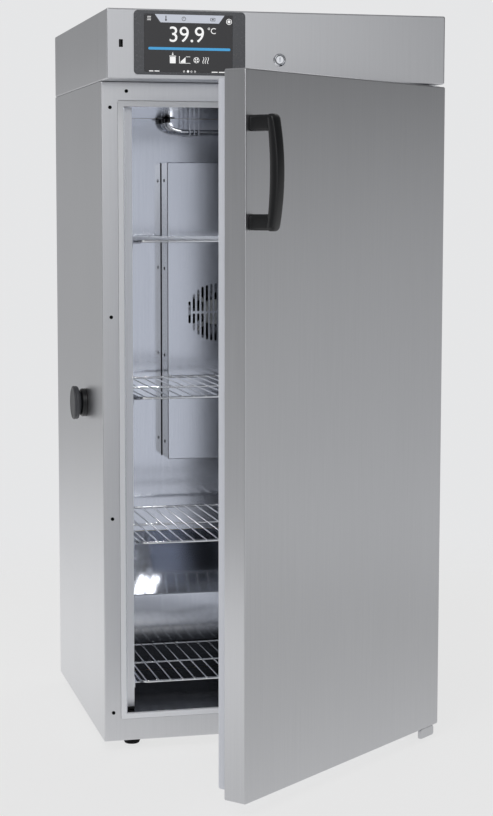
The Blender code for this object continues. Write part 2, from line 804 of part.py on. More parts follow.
# ---- Door ----
def make_door():
    hinge = new_empty("door_hinge_axis", (AXIS_X, AXIS_Y, 0), cabinet, DOOR_ANGLE)
    skin = make_box(
        "door_skin",
        "steel_outer",
        (DOOR_FREE, DOOR_FACE, DOOR_LOW),
        (DOOR_HINGE, DOOR_BACK, DOOR_HIGH),
        hinge,
    )
    t = SHEET
    back = DOOR_BACK - t - GAP
    room = (
        (DOOR_FREE + t, DOOR_FACE + t, DOOR_LOW + t),
        (DOOR_HINGE - t, DOOR_BACK + 0.01, DOOR_HIGH - t),
    )
    cut_boxes(skin, [room])
    cam_slot = ((-AXIS_X - 0.008, -0.0075, DOOR_HIGH - 0.02), (-AXIS_X + 0.038, -0.0005, DOOR_HIGH + 0.01))
    tool = helper("cut_cam_slot", box_mesh("cut_cam_slot", [cam_slot]), hinge)
    combine(skin, "DIFFERENCE", tool)
    cut_round(skin, "skin_pin", (0, 0, DOOR_HIGH), "Z", 0.0045, 0.03)

    liner = make_box(
        "door_liner",
        "steel_liner",
        (DOOR_FREE + t + GAP, back + GAP, DOOR_LOW + t + GAP),
        (DOOR_HINGE - t - GAP, DOOR_BACK, DOOR_HIGH - t - GAP),
        hinge,
    )
    join_box(
        liner,
        "liner_dish",
        (DOOR_FREE + 0.050, back + GAP, DOOR_LOW + 0.050),
        (DOOR_HINGE - 0.050, DOOR_BACK + 0.008, DOOR_HIGH - 0.050),
    )
    foam = make_box(
        "door_foam",
        "foam",
        (DOOR_FREE + t + GAP, DOOR_FACE + t + GAP, DOOR_LOW + t + GAP),
        (DOOR_HINGE - t - GAP, back, DOOR_HIGH - t - GAP),
        hinge,
    )
    cut_round(foam, "foam_pin", (0, 0, DOOR_HIGH), "Z", 0.0055, 0.05)
    pocket = ((-AXIS_X - 0.010, -0.0085, DOOR_HIGH - 0.02), (-AXIS_X + 0.040, 0.0005, DOOR_HIGH + 0.01))
    cut_boxes(foam, [pocket])

    left, right = DOOR_FREE + 0.012, DOOR_HINGE - 0.016
    low, high = DOOR_LOW + 0.012, DOOR_HIGH - 0.012
    w = GASKET_WIDTH
    make_plate(
        "door_gasket",
        "gasket_rubber",
        "XZ",
        [rectangle(left, low, right, high), rectangle(left + w, low + w, right - w, high - w)],
        GASKET_DEPTH - GAP,
        (0, DOOR_BACK + GAP + (GASKET_DEPTH - GAP) / 2, 0),
        hinge,
    )
    make_handle(hinge)
    block = make_box(
        "door_pivot_block",
        "steel_outer",
        (-0.034, -0.0225, 0.0080),
        (0.008, -0.0165, DOOR_LOW - GAP),
        hinge,
    )
    join_box(block, "pivot_lug", (-LUG_HALF, -0.0170, LUG_LOW), (LUG_HALF, 0.010, DOOR_LOW - GAP))
    cut_round(block, "pivot_bore", (0, 0, LUG_LOW), "Z", 0.0043, 0.04)


def make_handle(hinge):
    """A bow with two posts: its side outline, as wide as the grip."""
    grip, width, bow = 0.012, 0.020, 0.010
    face = DOOR_FACE - GAP
    reach = face - HANDLE_REACH
    half_length = HANDLE_LENGTH / 2
    post = 0.026
    steps = 12

    def arc(length, depth, shift):
        """Points of a shallow arc over +-length that is depth deep in its middle."""
        heights = [length * (2 * i / steps - 1) for i in range(steps + 1)]
        return [(reach + shift + depth * (h / length) ** 2, HANDLE_HEIGHT + h) for h in heights]

    outer = arc(half_length, bow, 0.0)
    inner = arc(half_length - post, bow * 0.55, grip)
    outline = [(face, HANDLE_HEIGHT - half_length + 0.004)]
    outline += outer
    outline += [(face, HANDLE_HEIGHT + half_length - 0.004)]
    outline += [(face, HANDLE_HEIGHT + half_length - post)]
    outline += list(reversed(inner))
    outline += [(face, HANDLE_HEIGHT - half_length + post)]
    place = (DOOR_FREE + 0.018, 0, 0)
    make_plate("door_handle", "black_plastic", "YZ", [outline], width, place, hinge)


def make_hinges():
    z = HOOD_BOTTOM + SHEET + 2 * GAP
    top = make_box(
        "hinge_bracket_top",
        "zinc",
        (AXIS_X - 0.020, 0.004, z),
        (AXIS_X + 0.020, HOOD_SPLIT - 0.005, z + 0.003),
        cabinet,
    )
    join_rod(top, "top_pin", (AXIS_X, AXIS_Y, z - 0.010), "Z", 0.0040, 0.026, 16)
    bottom = make_box(
        "hinge_bracket_bottom",
        "zinc",
        (AXIS_X - BRACKET_HALF, 0.0185, LUG_LOW - GAP - 0.003),
        (AXIS_X + BRACKET_HALF, 0.110, LUG_LOW - GAP),
        cabinet,
    )
    join_box(
        bottom,
        "bracket_block",
        (AXIS_X - BRACKET_HALF, 0.068, LUG_LOW - GAP - 0.003),
        (AXIS_X + BRACKET_HALF, 0.110, BASE - GAP),
    )
    join_rod(bottom, "bottom_pin", (AXIS_X, AXIS_Y, 0.0205), "Z", 0.0040, 0.008, 16)


# ---- Feet and access port ----
def make_feet():
    profile = [
        (0, 0.038),
        (0.0040, 0.038),
        (0.0040, BASE - 2 * GAP),
        (0.0110, BASE - 2 * GAP),
        (0.0110, 0.0100),
        (0.0150, 0.0080),
        (0.0150, 0),
        (0, 0),
    ]
    for side, sign in (("left", -1), ("right", 1)):
        for end, y in (("front", FOOT_FRONT), ("rear", FOOT_REAR)):
            name = "foot_%s_%s" % (end, side)
            place = (sign * FOOT_X, y, 0)
            make_turned(name, "black_plastic", profile, place, (0, 0, 0), cabinet, steps=20)


def make_port():
    # heights run outwards, along -x, from the side panel's face
    out = (0, -math.pi / 2, 0)
    place = (-half, PORT_Y, PORT_HEIGHT)
    depth = half - CHAMBER_HALF
    collar = [
        (0.0200, 0.0110),
        (0.0260, 0.0110),
        (0.0260, GAP),
        (0.0220, GAP),
        (0.0220, -depth),
        (0.0200, -depth),
    ]
    make_turned("port_collar", "black_plastic", collar, place, out, cabinet, True)
    plug = [
        (0, 0.0250),
        (0.0290, 0.0250),
        (0.0307, 0.0235),
        (0.0307, 0.0160),
        (0.0290, 0.0145),
        (0.0225, 0.0145),
        (0.0225, 0.0113),
        (0.0195, 0.0113),
        (0.0190, -depth),
        (0, -depth),
    ]
    make_turned("port_plug", "black_plastic", plug, place, out, cabinet)


def cut_side_hole():
    wall = bpy.data.objects["side_panel_left"]
    cut_round(wall, "panel_port", (-half, PORT_Y, PORT_HEIGHT), "X", 0.0223, 0.01)


make_shell()
make_face_frame()
make_liner()
make_insulation()
make_ducts()
make_runners()
make_shelves()
make_fan()
make_heater()
make_cooling()
make_hood()
make_controls()
make_lock()
make_door()
make_hinges()
make_feet()
make_port()
cut_side_hole()
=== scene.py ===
import json
import math
import bmesh
import bpy
import numpy as np
from mathutils import Matrix, Vector


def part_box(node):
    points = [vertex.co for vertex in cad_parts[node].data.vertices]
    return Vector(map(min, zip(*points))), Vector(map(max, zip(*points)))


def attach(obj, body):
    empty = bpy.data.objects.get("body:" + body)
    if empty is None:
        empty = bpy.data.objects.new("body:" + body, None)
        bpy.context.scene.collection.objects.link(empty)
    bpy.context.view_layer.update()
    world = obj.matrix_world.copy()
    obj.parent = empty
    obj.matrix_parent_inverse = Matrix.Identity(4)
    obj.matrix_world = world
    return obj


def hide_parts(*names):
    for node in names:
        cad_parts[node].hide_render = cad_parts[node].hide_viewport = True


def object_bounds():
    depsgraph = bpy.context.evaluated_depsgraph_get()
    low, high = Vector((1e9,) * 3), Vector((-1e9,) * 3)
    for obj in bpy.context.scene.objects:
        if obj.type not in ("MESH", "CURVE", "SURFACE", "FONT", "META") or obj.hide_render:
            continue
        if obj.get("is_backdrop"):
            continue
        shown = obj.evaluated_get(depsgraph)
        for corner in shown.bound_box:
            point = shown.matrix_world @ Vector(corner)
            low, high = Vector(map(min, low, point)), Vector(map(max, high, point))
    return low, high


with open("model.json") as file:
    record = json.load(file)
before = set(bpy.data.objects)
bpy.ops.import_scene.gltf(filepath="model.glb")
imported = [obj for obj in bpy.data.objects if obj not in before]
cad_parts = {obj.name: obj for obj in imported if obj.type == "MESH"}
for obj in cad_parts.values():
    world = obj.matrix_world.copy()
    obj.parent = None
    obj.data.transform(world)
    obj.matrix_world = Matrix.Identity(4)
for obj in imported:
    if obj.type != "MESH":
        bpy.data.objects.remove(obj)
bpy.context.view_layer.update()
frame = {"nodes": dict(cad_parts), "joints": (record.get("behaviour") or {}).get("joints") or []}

scene = bpy.context.scene
scene.view_settings.view_transform = "Standard"
print("frame loaded")

# places that everything else is measured from
fasciaLow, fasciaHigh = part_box("control_fascia")
cabinetX = (fasciaLow.x + fasciaHigh.x) / 2  # the cabinet's middle plane
cabinetY = fasciaLow.y  # the fascia's front face
cabinetPlace = np.array([cabinetX, cabinetY, 0.0])
doorJoint = next(j for j in frame["joints"] if j["name"] == "door_swing")
hingeX, hingeY = doorJoint["pos_m"][:2]
doorTurn = math.radians(-doorJoint["range_deg"][0])  # how far the door stands open at rest
doorCos, doorSin = math.cos(doorTurn), math.sin(doorTurn)


def meshPoints(mesh):
    points = np.empty(len(mesh.vertices) * 3)
    mesh.vertices.foreach_get("co", points)
    return points.reshape(-1, 3)


def cabinetBox(node):
    # a node's lowest and highest corner, measured from the cabinet's middle plane and front face
    low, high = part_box(node)
    return np.array(low) - cabinetPlace, np.array(high) - cabinetPlace


def toCabinet(points):
    return points + cabinetPlace


def toDoor(points):
    # door-local x runs along the door from its hinge axis, y through it, turned by the opening angle
    x, y = points[..., 0], points[..., 1]
    alongX, alongY = hingeX + x * doorCos - y * doorSin, hingeY + x * doorSin + y * doorCos
    return np.stack([alongX, alongY, points[..., 2]], -1)


def doorBox(node):
    # a door node's corners in door-local measures: its points turned back about the hinge axis
    mesh = frame["nodes"][node].data
    x, y, z = (meshPoints(mesh) - (hingeX, hingeY, 0)).T
    local = np.stack([x * doorCos + y * doorSin, -x * doorSin + y * doorCos, z], 1)
    return local.min(0), local.max(0)


# surfaces
inward = np.array([1, -1, 1, -1])  # what an inset does to (left, right, low, high)
quarter = np.linspace(0, math.pi / 2, 5)
sharpAngle = 32  # degrees: edges sharper than this stay crisp


def fillet(points, radius, steps=4, closed=True):
    # each corner C turns into the curve (1-t)^2 A + 2t(1-t) C + t^2 B, where A and B lie a radius before
    # and after it; one more point a little outside each end keeps the flats beside it flat
    mostShare, outside = 0.42, 1.15
    p = np.asarray(points, float)
    before, after = np.roll(p, 1, 0) - p, np.roll(p, -1, 0) - p
    lengthA = np.linalg.norm(before, axis=1, keepdims=True)
    lengthB = np.linalg.norm(after, axis=1, keepdims=True)
    r = np.minimum(radius, mostShare * np.minimum(lengthA, lengthB))
    if not closed:
        r[[0, -1]] = 0
    a, b = before / lengthA * r, after / lengthB * r
    t = np.linspace(0, 1, steps + 1)[None, :, None]
    curve = (1 - t) ** 2 * a[:, None] + t**2 * b[:, None] + p[:, None]
    rows = np.concatenate([p[:, None] + a[:, None] * outside, curve, p[:, None] + b[:, None] * outside], 1)
    if not closed:
        rows = np.concatenate([rows[0, -1:], rows[1:-1].reshape(-1, p.shape[1]), rows[-1, :1]])
    return rows.reshape(-1, p.shape[1])


def roundedLoops(rects, radius, depth, steps=5):
    # rows of rounded rectangles: row i has sides rects[i] = (left, right, low, high), corner radius and depth y;
    # each corner is a quarter circle about a centre set in by the radius
    rects = np.asarray(rects, float)
    rows = len(rects)
    radius = np.broadcast_to(np.asarray(radius, float), rows)
    left, right, low, high = rects.T
    r = np.clip(radius, 0.00005, 0.499 * np.minimum(right - left, high - low))[:, None]
    angle = (np.arange(4)[:, None] * math.pi / 2 + np.linspace(0, math.pi / 2, steps + 1)).ravel()
    signX = np.repeat([1, -1, -1, 1], steps + 1)
    signZ = np.repeat([1, 1, -1, -1], steps + 1)
    x = ((left + right) / 2)[:, None] + signX * (((right - left) / 2)[:, None] - r) + r * np.cos(angle)
    z = ((low + high) / 2)[:, None] + signZ * (((high - low) / 2)[:, None] - r) + r * np.sin(angle)
    y = np.broadcast_to(np.asarray(depth, float)[:, None], x.shape)
    return np.stack([x, y, z], -1)


def insetLoops(rect, profile, corner, steps=5):
    # the profile's (inset, depth) pairs carried round one rectangle; corners tighten as the inset grows
    profile = np.asarray(profile, float)
    rects = np.asarray(rect, float) + profile[:, :1] * inward
    return roundedLoops(rects, np.maximum(corner - profile[:, 0], 0.0003), profile[:, 1], steps)


def turned(profile, centre, axis, sides, ring=False, caps=True):
    # (radius, height) pairs turned about an axis through the centre: radius*(u cos a + v sin a) + height*axis
    profile = np.asarray(profile, float)
    n = np.array(axis, float)
    u = np.cross(n, [0.0, 0.0, 1.0] if abs(n[2]) < 0.9 else [1.0, 0.0, 0.0])
    u /= np.linalg.norm(u)
    v = np.cross(n, u)
    a = np.linspace(0, 2 * math.pi, sides, endpoint=False)[None, :, None]
    ringPoints = profile[:, :1, None] * (np.cos(a) * u + np.sin(a) * v)
    return shell(np.asarray(centre) + ringPoints + profile[:, 1][:, None, None] * n, ring, caps)


def rod(radius, half, centre, axis, sides):
    # a plain round bar to drill with, half of it on each side of the centre
    return turned([(0, -half), (radius, -half), (radius, half), (0, half)], centre, axis, sides)


def carried(section, path, across):
    # a section's (u, v) pairs at each path point, along side = tangent x across and rise = tangent x side
    path = np.asarray(path, float)
    tangent = np.gradient(path, axis=-2)
    tangent /= np.linalg.norm(tangent, axis=-1, keepdims=True)
    side = np.cross(tangent, across)
    side /= np.linalg.norm(side, axis=-1, keepdims=True)
    rise = np.cross(tangent, side)
    section = np.broadcast_to(np.asarray(section, float), path.shape[:-1] + np.shape(section)[-2:])
    sideways = section[..., :1] * side[..., None, :]
    return path[..., None, :] + sideways + section[..., 1:] * rise[..., None, :]


def circle(radius, sides=10):
    a = np.linspace(0, 2 * math.pi, sides, endpoint=False)
    return np.stack([radius * np.cos(a), radius * np.sin(a)], 1)


def shell(points, ring=False, caps=True):
    # a grid of points (rows, columns, 3) whose columns close on themselves; ring closes the rows as well
    rows, columns = points.shape[:2]
    i = np.arange(rows if ring else rows - 1)[:, None]
    j = np.arange(columns)[None, :]
    nextRow, nextColumn = (i + 1) % rows, (j + 1) % columns
    corners = [i * columns + j, i * columns + nextColumn]
    corners += [nextRow * columns + nextColumn, nextRow * columns + j]
    faces = np.stack(np.broadcast_arrays(*corners), -1).reshape(-1, 4).tolist()
    if caps and not ring:
        faces.append(list(range(columns)))
        faces.append(list(range((rows - 1) * columns, rows * columns)))
    return points.reshape(-1, 3), faces


def tubes(paths, radius, across, sides=8):
    # round wires: a circle carried along each path of the stack (count, points, 3), capped at both ends
    grids = carried(circle(radius, sides), paths, across)
    return [shell(grid) for grid in grids]


def block(low, high, edge, corner=None):
    # a box with rounded corners and edges: rounded rectangles stacked from front to back
    low, high = np.minimum(low, high), np.maximum(low, high)
    corner = corner or edge
    profile = fillet([(edge * 3, low[1]), (0, low[1]), (0, high[1]), (edge * 3, high[1])], edge, 3, False)
    return shell(insetLoops((low[0], high[0], low[2], high[2]), profile, corner, 4))


def foldedBox(rect, openY, closedY, sheet, edge):
    # a folded sheet box: from its closed face round the edge to the open rim, then back along the inside
    inward = math.copysign(1.0, closedY - openY)
    faceRim = fillet([(edge * 4, closedY), (0, closedY), (0, openY)], edge, 5, False)[:-1]
    openRim = fillet([(0, closedY), (0, openY), (sheet, openY), (sheet, closedY)], 0.0004, 3, False)[1:-1]
    inside = [(sheet, closedY - inward * sheet * 1.3), (edge * 4, closedY - inward * sheet)]
    return shell(insetLoops(rect, np.concatenate([faceRim, openRim, inside]), edge * 1.4, 5))


def smooth(mesh, sharp):
    mesh.shade_smooth()
    mesh.set_sharp_from_angle(angle=math.radians(sharp))


def joinParts(name, parts, place, sharp=sharpAngle):
    # (points, faces) parts as one mesh in its place: doubles merged, faces turned outwards, sharp edges crisp
    points, faces, start = [], [], 0
    for partPoints, partFaces in parts:
        points.append(place(partPoints))
        faces += [[index + start for index in face] for face in partFaces]
        start += len(partPoints)
    mesh = bpy.data.meshes.new(name)
    mesh.from_pydata(np.concatenate(points).tolist(), [], faces)
    work = bmesh.new()
    work.from_mesh(mesh)
    bmesh.ops.remove_doubles(work, verts=work.verts, dist=0.000002)
    bmesh.ops.recalc_face_normals(work, faces=work.faces)
    work.to_mesh(mesh)
    work.free()
    smooth(mesh, sharp)
    return mesh


def addPiece(name, parts, material, stands=(), body="cabinet", place=toCabinet, sharp=sharpAngle):
    # one piece from its parts, riding on a body and standing in for CAD nodes
    mesh = joinParts(name, parts, place, sharp)
    mesh.materials.append(material)
    piece = bpy.data.objects.new(name, mesh)
    scene.collection.objects.link(piece)
    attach(piece, body)
    if stands:
        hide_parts(*stands)
    return piece


def finalMesh(obj):
    bpy.context.view_layer.update()
    return bpy.data.meshes.new_from_object(obj.evaluated_get(bpy.context.evaluated_depsgraph_get()))


def cutHoles(piece, parts, place=toCabinet):
    # subtracts closed shapes from a piece and keeps the result as its mesh
    tool = bpy.data.objects.new("cutter", joinParts("cutter", parts, place))
    scene.collection.objects.link(tool)
    cut = piece.modifiers.new("holes", "BOOLEAN")
    cut.operation, cut.solver, cut.object = "DIFFERENCE", "EXACT", tool
    result = finalMesh(piece)
    piece.modifiers.clear()
    piece.data = result
    bpy.data.objects.remove(tool)
    smooth(result, sharpAngle)


def flatSheet(loops, thickness, holder):
    # outlines in x and z filled into a sheet about y = 0; inner outlines are holes
    curve = bpy.data.curves.new(holder, "CURVE")
    curve.dimensions, curve.fill_mode, curve.extrude = "2D", "BOTH", thickness / 2
    for loop in loops:
        spline = curve.splines.new("POLY")
        spline.points.add(len(loop) - 1)
        flat = np.column_stack([loop, np.zeros(len(loop)), np.ones(len(loop))])
        spline.points.foreach_set("co", flat.ravel())
        spline.use_cyclic_u = True
    return readFlat(curve, holder)


def readFlat(curve, holder):
    # a flat curve or text as (points, faces), stood up so that it faces the front
    obj = bpy.data.objects.new(holder, curve)
    scene.collection.objects.link(obj)
    mesh = finalMesh(obj)
    points = meshPoints(mesh)
    faces = [list(polygon.vertices) for polygon in mesh.polygons]
    bpy.data.objects.remove(obj)
    bpy.data.meshes.remove(mesh)
    return np.stack([points[:, 0], -points[:, 2], points[:, 1]], 1), faces


# materials
def linear(hexColour):
    # an sRGB hex colour as linear red, green, blue and alpha
    c = np.array([int(hexColour[i : i + 2], 16) for i in (1, 3, 5)]) / 255
    c = np.where(c <= 0.04045, c / 12.92, ((c + 0.055) / 1.055) ** 2.4)
    return (*c.tolist(), 1.0)


def addNode(tree, kind, settings=None, links=None):
    node = tree.nodes.new("ShaderNode" + kind)
    for key, value in (settings or {}).items():
        if isinstance(key, int) or key in node.inputs:
            node.inputs[key].default_value = value
        else:
            setattr(node, key, value)
    for key, socket in (links or {}).items():
        tree.links.new(socket, node.inputs[key])
    return node


def makeFinish(name, look):
    # colour runs between two hexes with a fine grain and a broad cloud; grain also sets roughness and relief
    material = bpy.data.materials.new(name)
    material.use_nodes = True
    tree = material.node_tree
    tree.nodes.clear()
    shader = addNode(tree, "BsdfPrincipled", look.get("shader"))
    addNode(tree, "OutputMaterial", None, {"Surface": shader.outputs[0]})
    place = addNode(tree, "TexCoord").outputs["Object"]
    perMetre = [1000 / mm for mm in look["grainMm"]]
    grainPlace = addNode(tree, "Mapping", {"Scale": perMetre}, {"Vector": place})
    if look.get("pattern") == "cells":
        grain = addNode(tree, "TexVoronoi", {"Scale": 1.0}, {"Vector": grainPlace.outputs[0]}).outputs["Distance"]
    elif look.get("pattern") == "fins":
        wave = {"Scale": 0.5, "bands_direction": look["across"]}
        grain = addNode(tree, "TexWave", wave, {"Vector": grainPlace.outputs[0]}).outputs["Fac"]
    else:
        noise = {"Scale": 1.0, "Detail": 3.0, "Roughness": 0.6}
        grain = addNode(tree, "TexNoise", noise, {"Vector": grainPlace.outputs[0]}).outputs[0]
    cloudScale = [1000 / mm for mm in (180, 180, 260)]
    cloudPlace = addNode(tree, "Mapping", {"Scale": cloudScale}, {"Vector": place})
    cloud = addNode(tree, "TexNoise", {"Scale": 1.0, "Detail": 2.0}, {"Vector": cloudPlace.outputs[0]}).outputs[0]
    share = look.get("cloudShare", 0.4)
    part = addNode(tree, "Math", {"operation": "MULTIPLY", 1: share}, {0: cloud})
    blend = addNode(tree, "Math", {"operation": "MULTIPLY_ADD", 1: 1 - share}, {0: grain, 2: part.outputs[0]})
    colour = addNode(tree, "ValToRGB", None, {0: blend.outputs[0]})
    for stop, shade, position in zip(colour.color_ramp.elements, ("dark", "light"), look.get("ramp", (0.3, 0.7))):
        stop.color, stop.position = linear(look[shade]), position
    tint = colour.outputs[0]
    # a fade darkens the colour towards a given hex below a band of heights: painted shade
    if look.get("fade"):
        start, end, hexColour = look["fade"]
        height = addNode(tree, "SeparateXYZ", None, {0: place}).outputs["Z"]
        rise = {"From Min": start, "From Max": end, "interpolation_type": "SMOOTHSTEP"}
        above = addNode(tree, "MapRange", rise, {"Value": height}).outputs[0]
        tint = addNode(tree, "Mix", {"data_type": "RGBA", 6: linear(hexColour)}, {0: above, 7: tint}).outputs[2]
    tree.links.new(tint, shader.inputs["Base Color"])
    low, high = look["roughness"]
    span = {"From Min": 0.25, "From Max": 0.75, "To Min": low, "To Max": high}
    rough = addNode(tree, "MapRange", span, {"Value": grain})
    tree.links.new(rough.outputs[0], shader.inputs["Roughness"])
    if look.get("reliefMm"):
        bump = addNode(tree, "Bump", {"Strength": 1.0, "Distance": look["reliefMm"] / 1000}, {"Height": grain})
        if look.get("waveMm"):
            wavyPlace = addNode(tree, "Mapping", {"Scale": [1000 / look["waveMm"]] * 3}, {"Vector": place})
            wavy = addNode(tree, "TexNoise", {"Scale": 1.0, "Detail": 1.0}, {"Vector": wavyPlace.outputs[0]})
            depth = {"Strength": 1.0, "Distance": look["swayMm"] / 1000}
            sway = addNode(tree, "Bump", depth, {"Height": wavy.outputs[0]})
            tree.links.new(sway.outputs[0], bump.inputs["Normal"])
        tree.links.new(bump.outputs[0], shader.inputs["Normal"])
    return material


def litLook(hexColour, strength, dark, light):
    shader = {"Metallic": 0.0, "Emission Color": linear(hexColour), "Emission Strength": strength}
    return {"shader": shader, "dark": dark, "light": light, "roughness": (0.3, 0.4), "grainMm": (0.6, 0.6, 0.6)}


# what the three sheets rolled for the chamber share: lines 2.4 mm apart and slow waves 140 mm long
rolled = {
    "shader": {"Metallic": 1.0}, "grainMm": (2.4, 2.4, 120.0), "reliefMm": 0.0008, "waveMm": 140.0, "swayMm": 0.12,
}
looks = {
    # ground stainless sheet: a soft grey sheen with faint upright lines, drawn 3 mm apart to show at all
    "ground stainless steel": {
        "shader": {"Metallic": 1.0},
        "dark": "#D6D7DA", "light": "#DBDCDF", "roughness": (0.28, 0.30),
        "grainMm": (3.0, 3.0, 160.0), "reliefMm": 0.0006, "cloudShare": 0.3,
    },
    # bright-rolled stainless sheet: nearly a mirror, slightly blue, with slow waves from rolling
    "bright rolled stainless steel": {
        **rolled, "dark": "#D3D6DD", "light": "#DEE1E8", "roughness": (0.10, 0.15),
    },
    # the same sheet on the chamber floor, its colour darkened to smoke grey as painted shade for the dim low chamber;
    # still glossy
    "rolled stainless steel darkened as painted shade": {
        **rolled, "dark": "#46484C", "light": "#54565A", "roughness": (0.10, 0.16),
    },
    # the step's sheet runs from bright at its top edge to dark near the floor: the dark lower part is painted shade
    "step sheet with painted shade low down": {
        **rolled, "dark": "#D3D6DD", "light": "#DEE1E8", "roughness": (0.10, 0.14),
        "fade": (0.122, 0.172, "#4A4C50"),
    },
    # brushed liner sheet of the air ducts: pale and satin, so that its folded edge reads as a light strip
    "satin duct sheet": {
        "shader": {"Metallic": 0.85},
        "dark": "#E3E5E9", "light": "#EFF0F4", "roughness": (0.30, 0.38),
        "grainMm": (2.4, 2.4, 120.0), "reliefMm": 0.001,
    },
    # drawn wire, electropolished: a small hard highlight along each wire
    "electropolished wire": {
        "shader": {"Metallic": 1.0},
        "dark": "#E6E8EC", "light": "#F6F7F9", "roughness": (0.12, 0.2),
        "grainMm": (1.2, 9.0, 1.2), "reliefMm": 0.01,
    },
    # hot-dip galvanised sheet: flat crystals about 12 mm across, dull and pale
    "galvanised sheet": {
        "shader": {"Metallic": 1.0}, "pattern": "cells",
        "dark": "#8E9193", "light": "#B7B9BA", "roughness": (0.38, 0.55),
        "grainMm": (12.0, 12.0, 12.0), "reliefMm": 0.01, "ramp": (0.1, 0.9),
    },
    # poured polyurethane foam: cream, closed cells about 1.5 mm wide
    "polyurethane foam": {
        "shader": {"Metallic": 0.0}, "pattern": "cells",
        "dark": "#C6AE74", "light": "#E6D7A6", "roughness": (0.85, 0.95),
        "grainMm": (1.5, 1.5, 1.5), "reliefMm": 0.4,
    },
    # extruded PVC trim: bluish white, satin, with drawing lines along it
    "white PVC trim": {
        "shader": {"Metallic": 0.0},
        "dark": "#F6F8FD", "light": "#FCFDFF", "roughness": (0.34, 0.44),
        "grainMm": (2.0, 2.0, 60.0), "reliefMm": 0.01,
    },
    # soft magnetic door seal: bluish white, dull, slightly dusty
    "silicone door seal": {
        "shader": {"Metallic": 0.0, "Sheen Weight": 0.15},
        "dark": "#E6E9F1", "light": "#F1F3FA", "roughness": (0.55, 0.7),
        "grainMm": (1.5, 1.5, 40.0), "reliefMm": 0.02,
    },
    # moulded glass-filled nylon: black with an even spark-eroded texture of about 0.8 mm
    "black moulded nylon": {
        "shader": {"Metallic": 0.0},
        "dark": "#0D0E10", "light": "#151619", "roughness": (0.26, 0.36),
        "grainMm": (0.8, 0.8, 0.8), "reliefMm": 0.02, "cloudShare": 0.25,
    },
    # moulded rubber: near black, matt
    "black rubber": {
        "shader": {"Metallic": 0.0, "Specular IOR Level": 0.15},
        "dark": "#050506", "light": "#0B0B0C", "roughness": (0.6, 0.75),
        "grainMm": (1.0, 1.0, 1.0), "reliefMm": 0.04,
    },
    # moulded silicone: dark grey, matt, faintly mottled
    "grey silicone": {
        "shader": {"Metallic": 0.0},
        "dark": "#424347", "light": "#505155", "roughness": (0.4, 0.52),
        "grainMm": (1.0, 1.0, 1.0), "reliefMm": 0.03,
    },
    # back-printed glass round the display: dark grey under a clear gloss
    "grey printed glass": {
        "shader": {"Metallic": 0.0, "Coat Weight": 0.6, "Coat Roughness": 0.05},
        "dark": "#484A4F", "light": "#505257", "roughness": (0.22, 0.3),
        "grainMm": (4.0, 4.0, 4.0), "reliefMm": 0.002,
    },
    # display glass, lit from behind: an even charcoal
    "display glass": {
        "shader": {"Metallic": 0.0, "Emission Color": linear("#2F2F31"), "Emission Strength": 0.6},
        "dark": "#1B1B1D", "light": "#222224", "roughness": (0.18, 0.24),
        "grainMm": (0.9, 0.9, 0.9),
    },
    # lit white signs on the display
    "white display light": litLook("#FFFFFF", 0.75, "#9A9A9A", "#A6A6A6"),
    # lit pale banner on the display
    "pale display light": litLook("#DDE2EE", 0.55, "#858890", "#8E919A"),
    # lit blue bar on the display
    "blue display light": litLook("#4EA6DC", 0.7, "#22658C", "#2A709A"),
    # solder-masked glass-fibre board: green with a faint weave
    "green circuit board": {
        "shader": {"Metallic": 0.0}, "pattern": "cells",
        "dark": "#17482F", "light": "#2A6A48", "roughness": (0.3, 0.45),
        "grainMm": (2.5, 2.5, 2.5), "reliefMm": 0.05,
    },
    # bright nickel-chrome plate: a clear mirror with faint pitting
    "chrome plate": {
        "shader": {"Metallic": 1.0},
        "dark": "#D2D4D8", "light": "#E2E4E8", "roughness": (0.04, 0.08),
        "grainMm": (1.5, 1.5, 1.5), "reliefMm": 0.002,
    },
    # pressed aluminium fins, 3 mm apart
    "finned aluminium": {
        "shader": {"Metallic": 1.0}, "pattern": "fins", "across": "X",
        "dark": "#3A3C3E", "light": "#B9BBBD", "roughness": (0.35, 0.5),
        "grainMm": (3.0, 3.0, 3.0), "reliefMm": 0.6, "ramp": (0.2, 0.8), "cloudShare": 0.1,
    },
    # stove enamel: black gloss with orange peel about 3 mm across
    "black stove enamel": {
        "shader": {"Metallic": 0.0, "Coat Weight": 0.4, "Coat Roughness": 0.12},
        "dark": "#101112", "light": "#191A1B", "roughness": (0.28, 0.38),
        "grainMm": (3.0, 3.0, 3.0), "reliefMm": 0.05,
    },
    # black-oxide screws: dark, faintly metallic
    "black oxide steel": {
        "shader": {"Metallic": 0.0, "Specular IOR Level": 0.1},
        "dark": "#040405", "light": "#0A0A0B", "roughness": (0.55, 0.7),
        "grainMm": (0.6, 0.6, 0.6), "reliefMm": 0.02,
    },
}
finish = {name: makeFinish(name, look) for name, look in looks.items()}
outerSteel = finish["ground stainless steel"]
linerSteel = finish["bright rolled stainless steel"]
wireSteel = finish["electropolished wire"]
nylon = finish["black moulded nylon"]
chrome = finish["chrome plate"]
print("materials made")

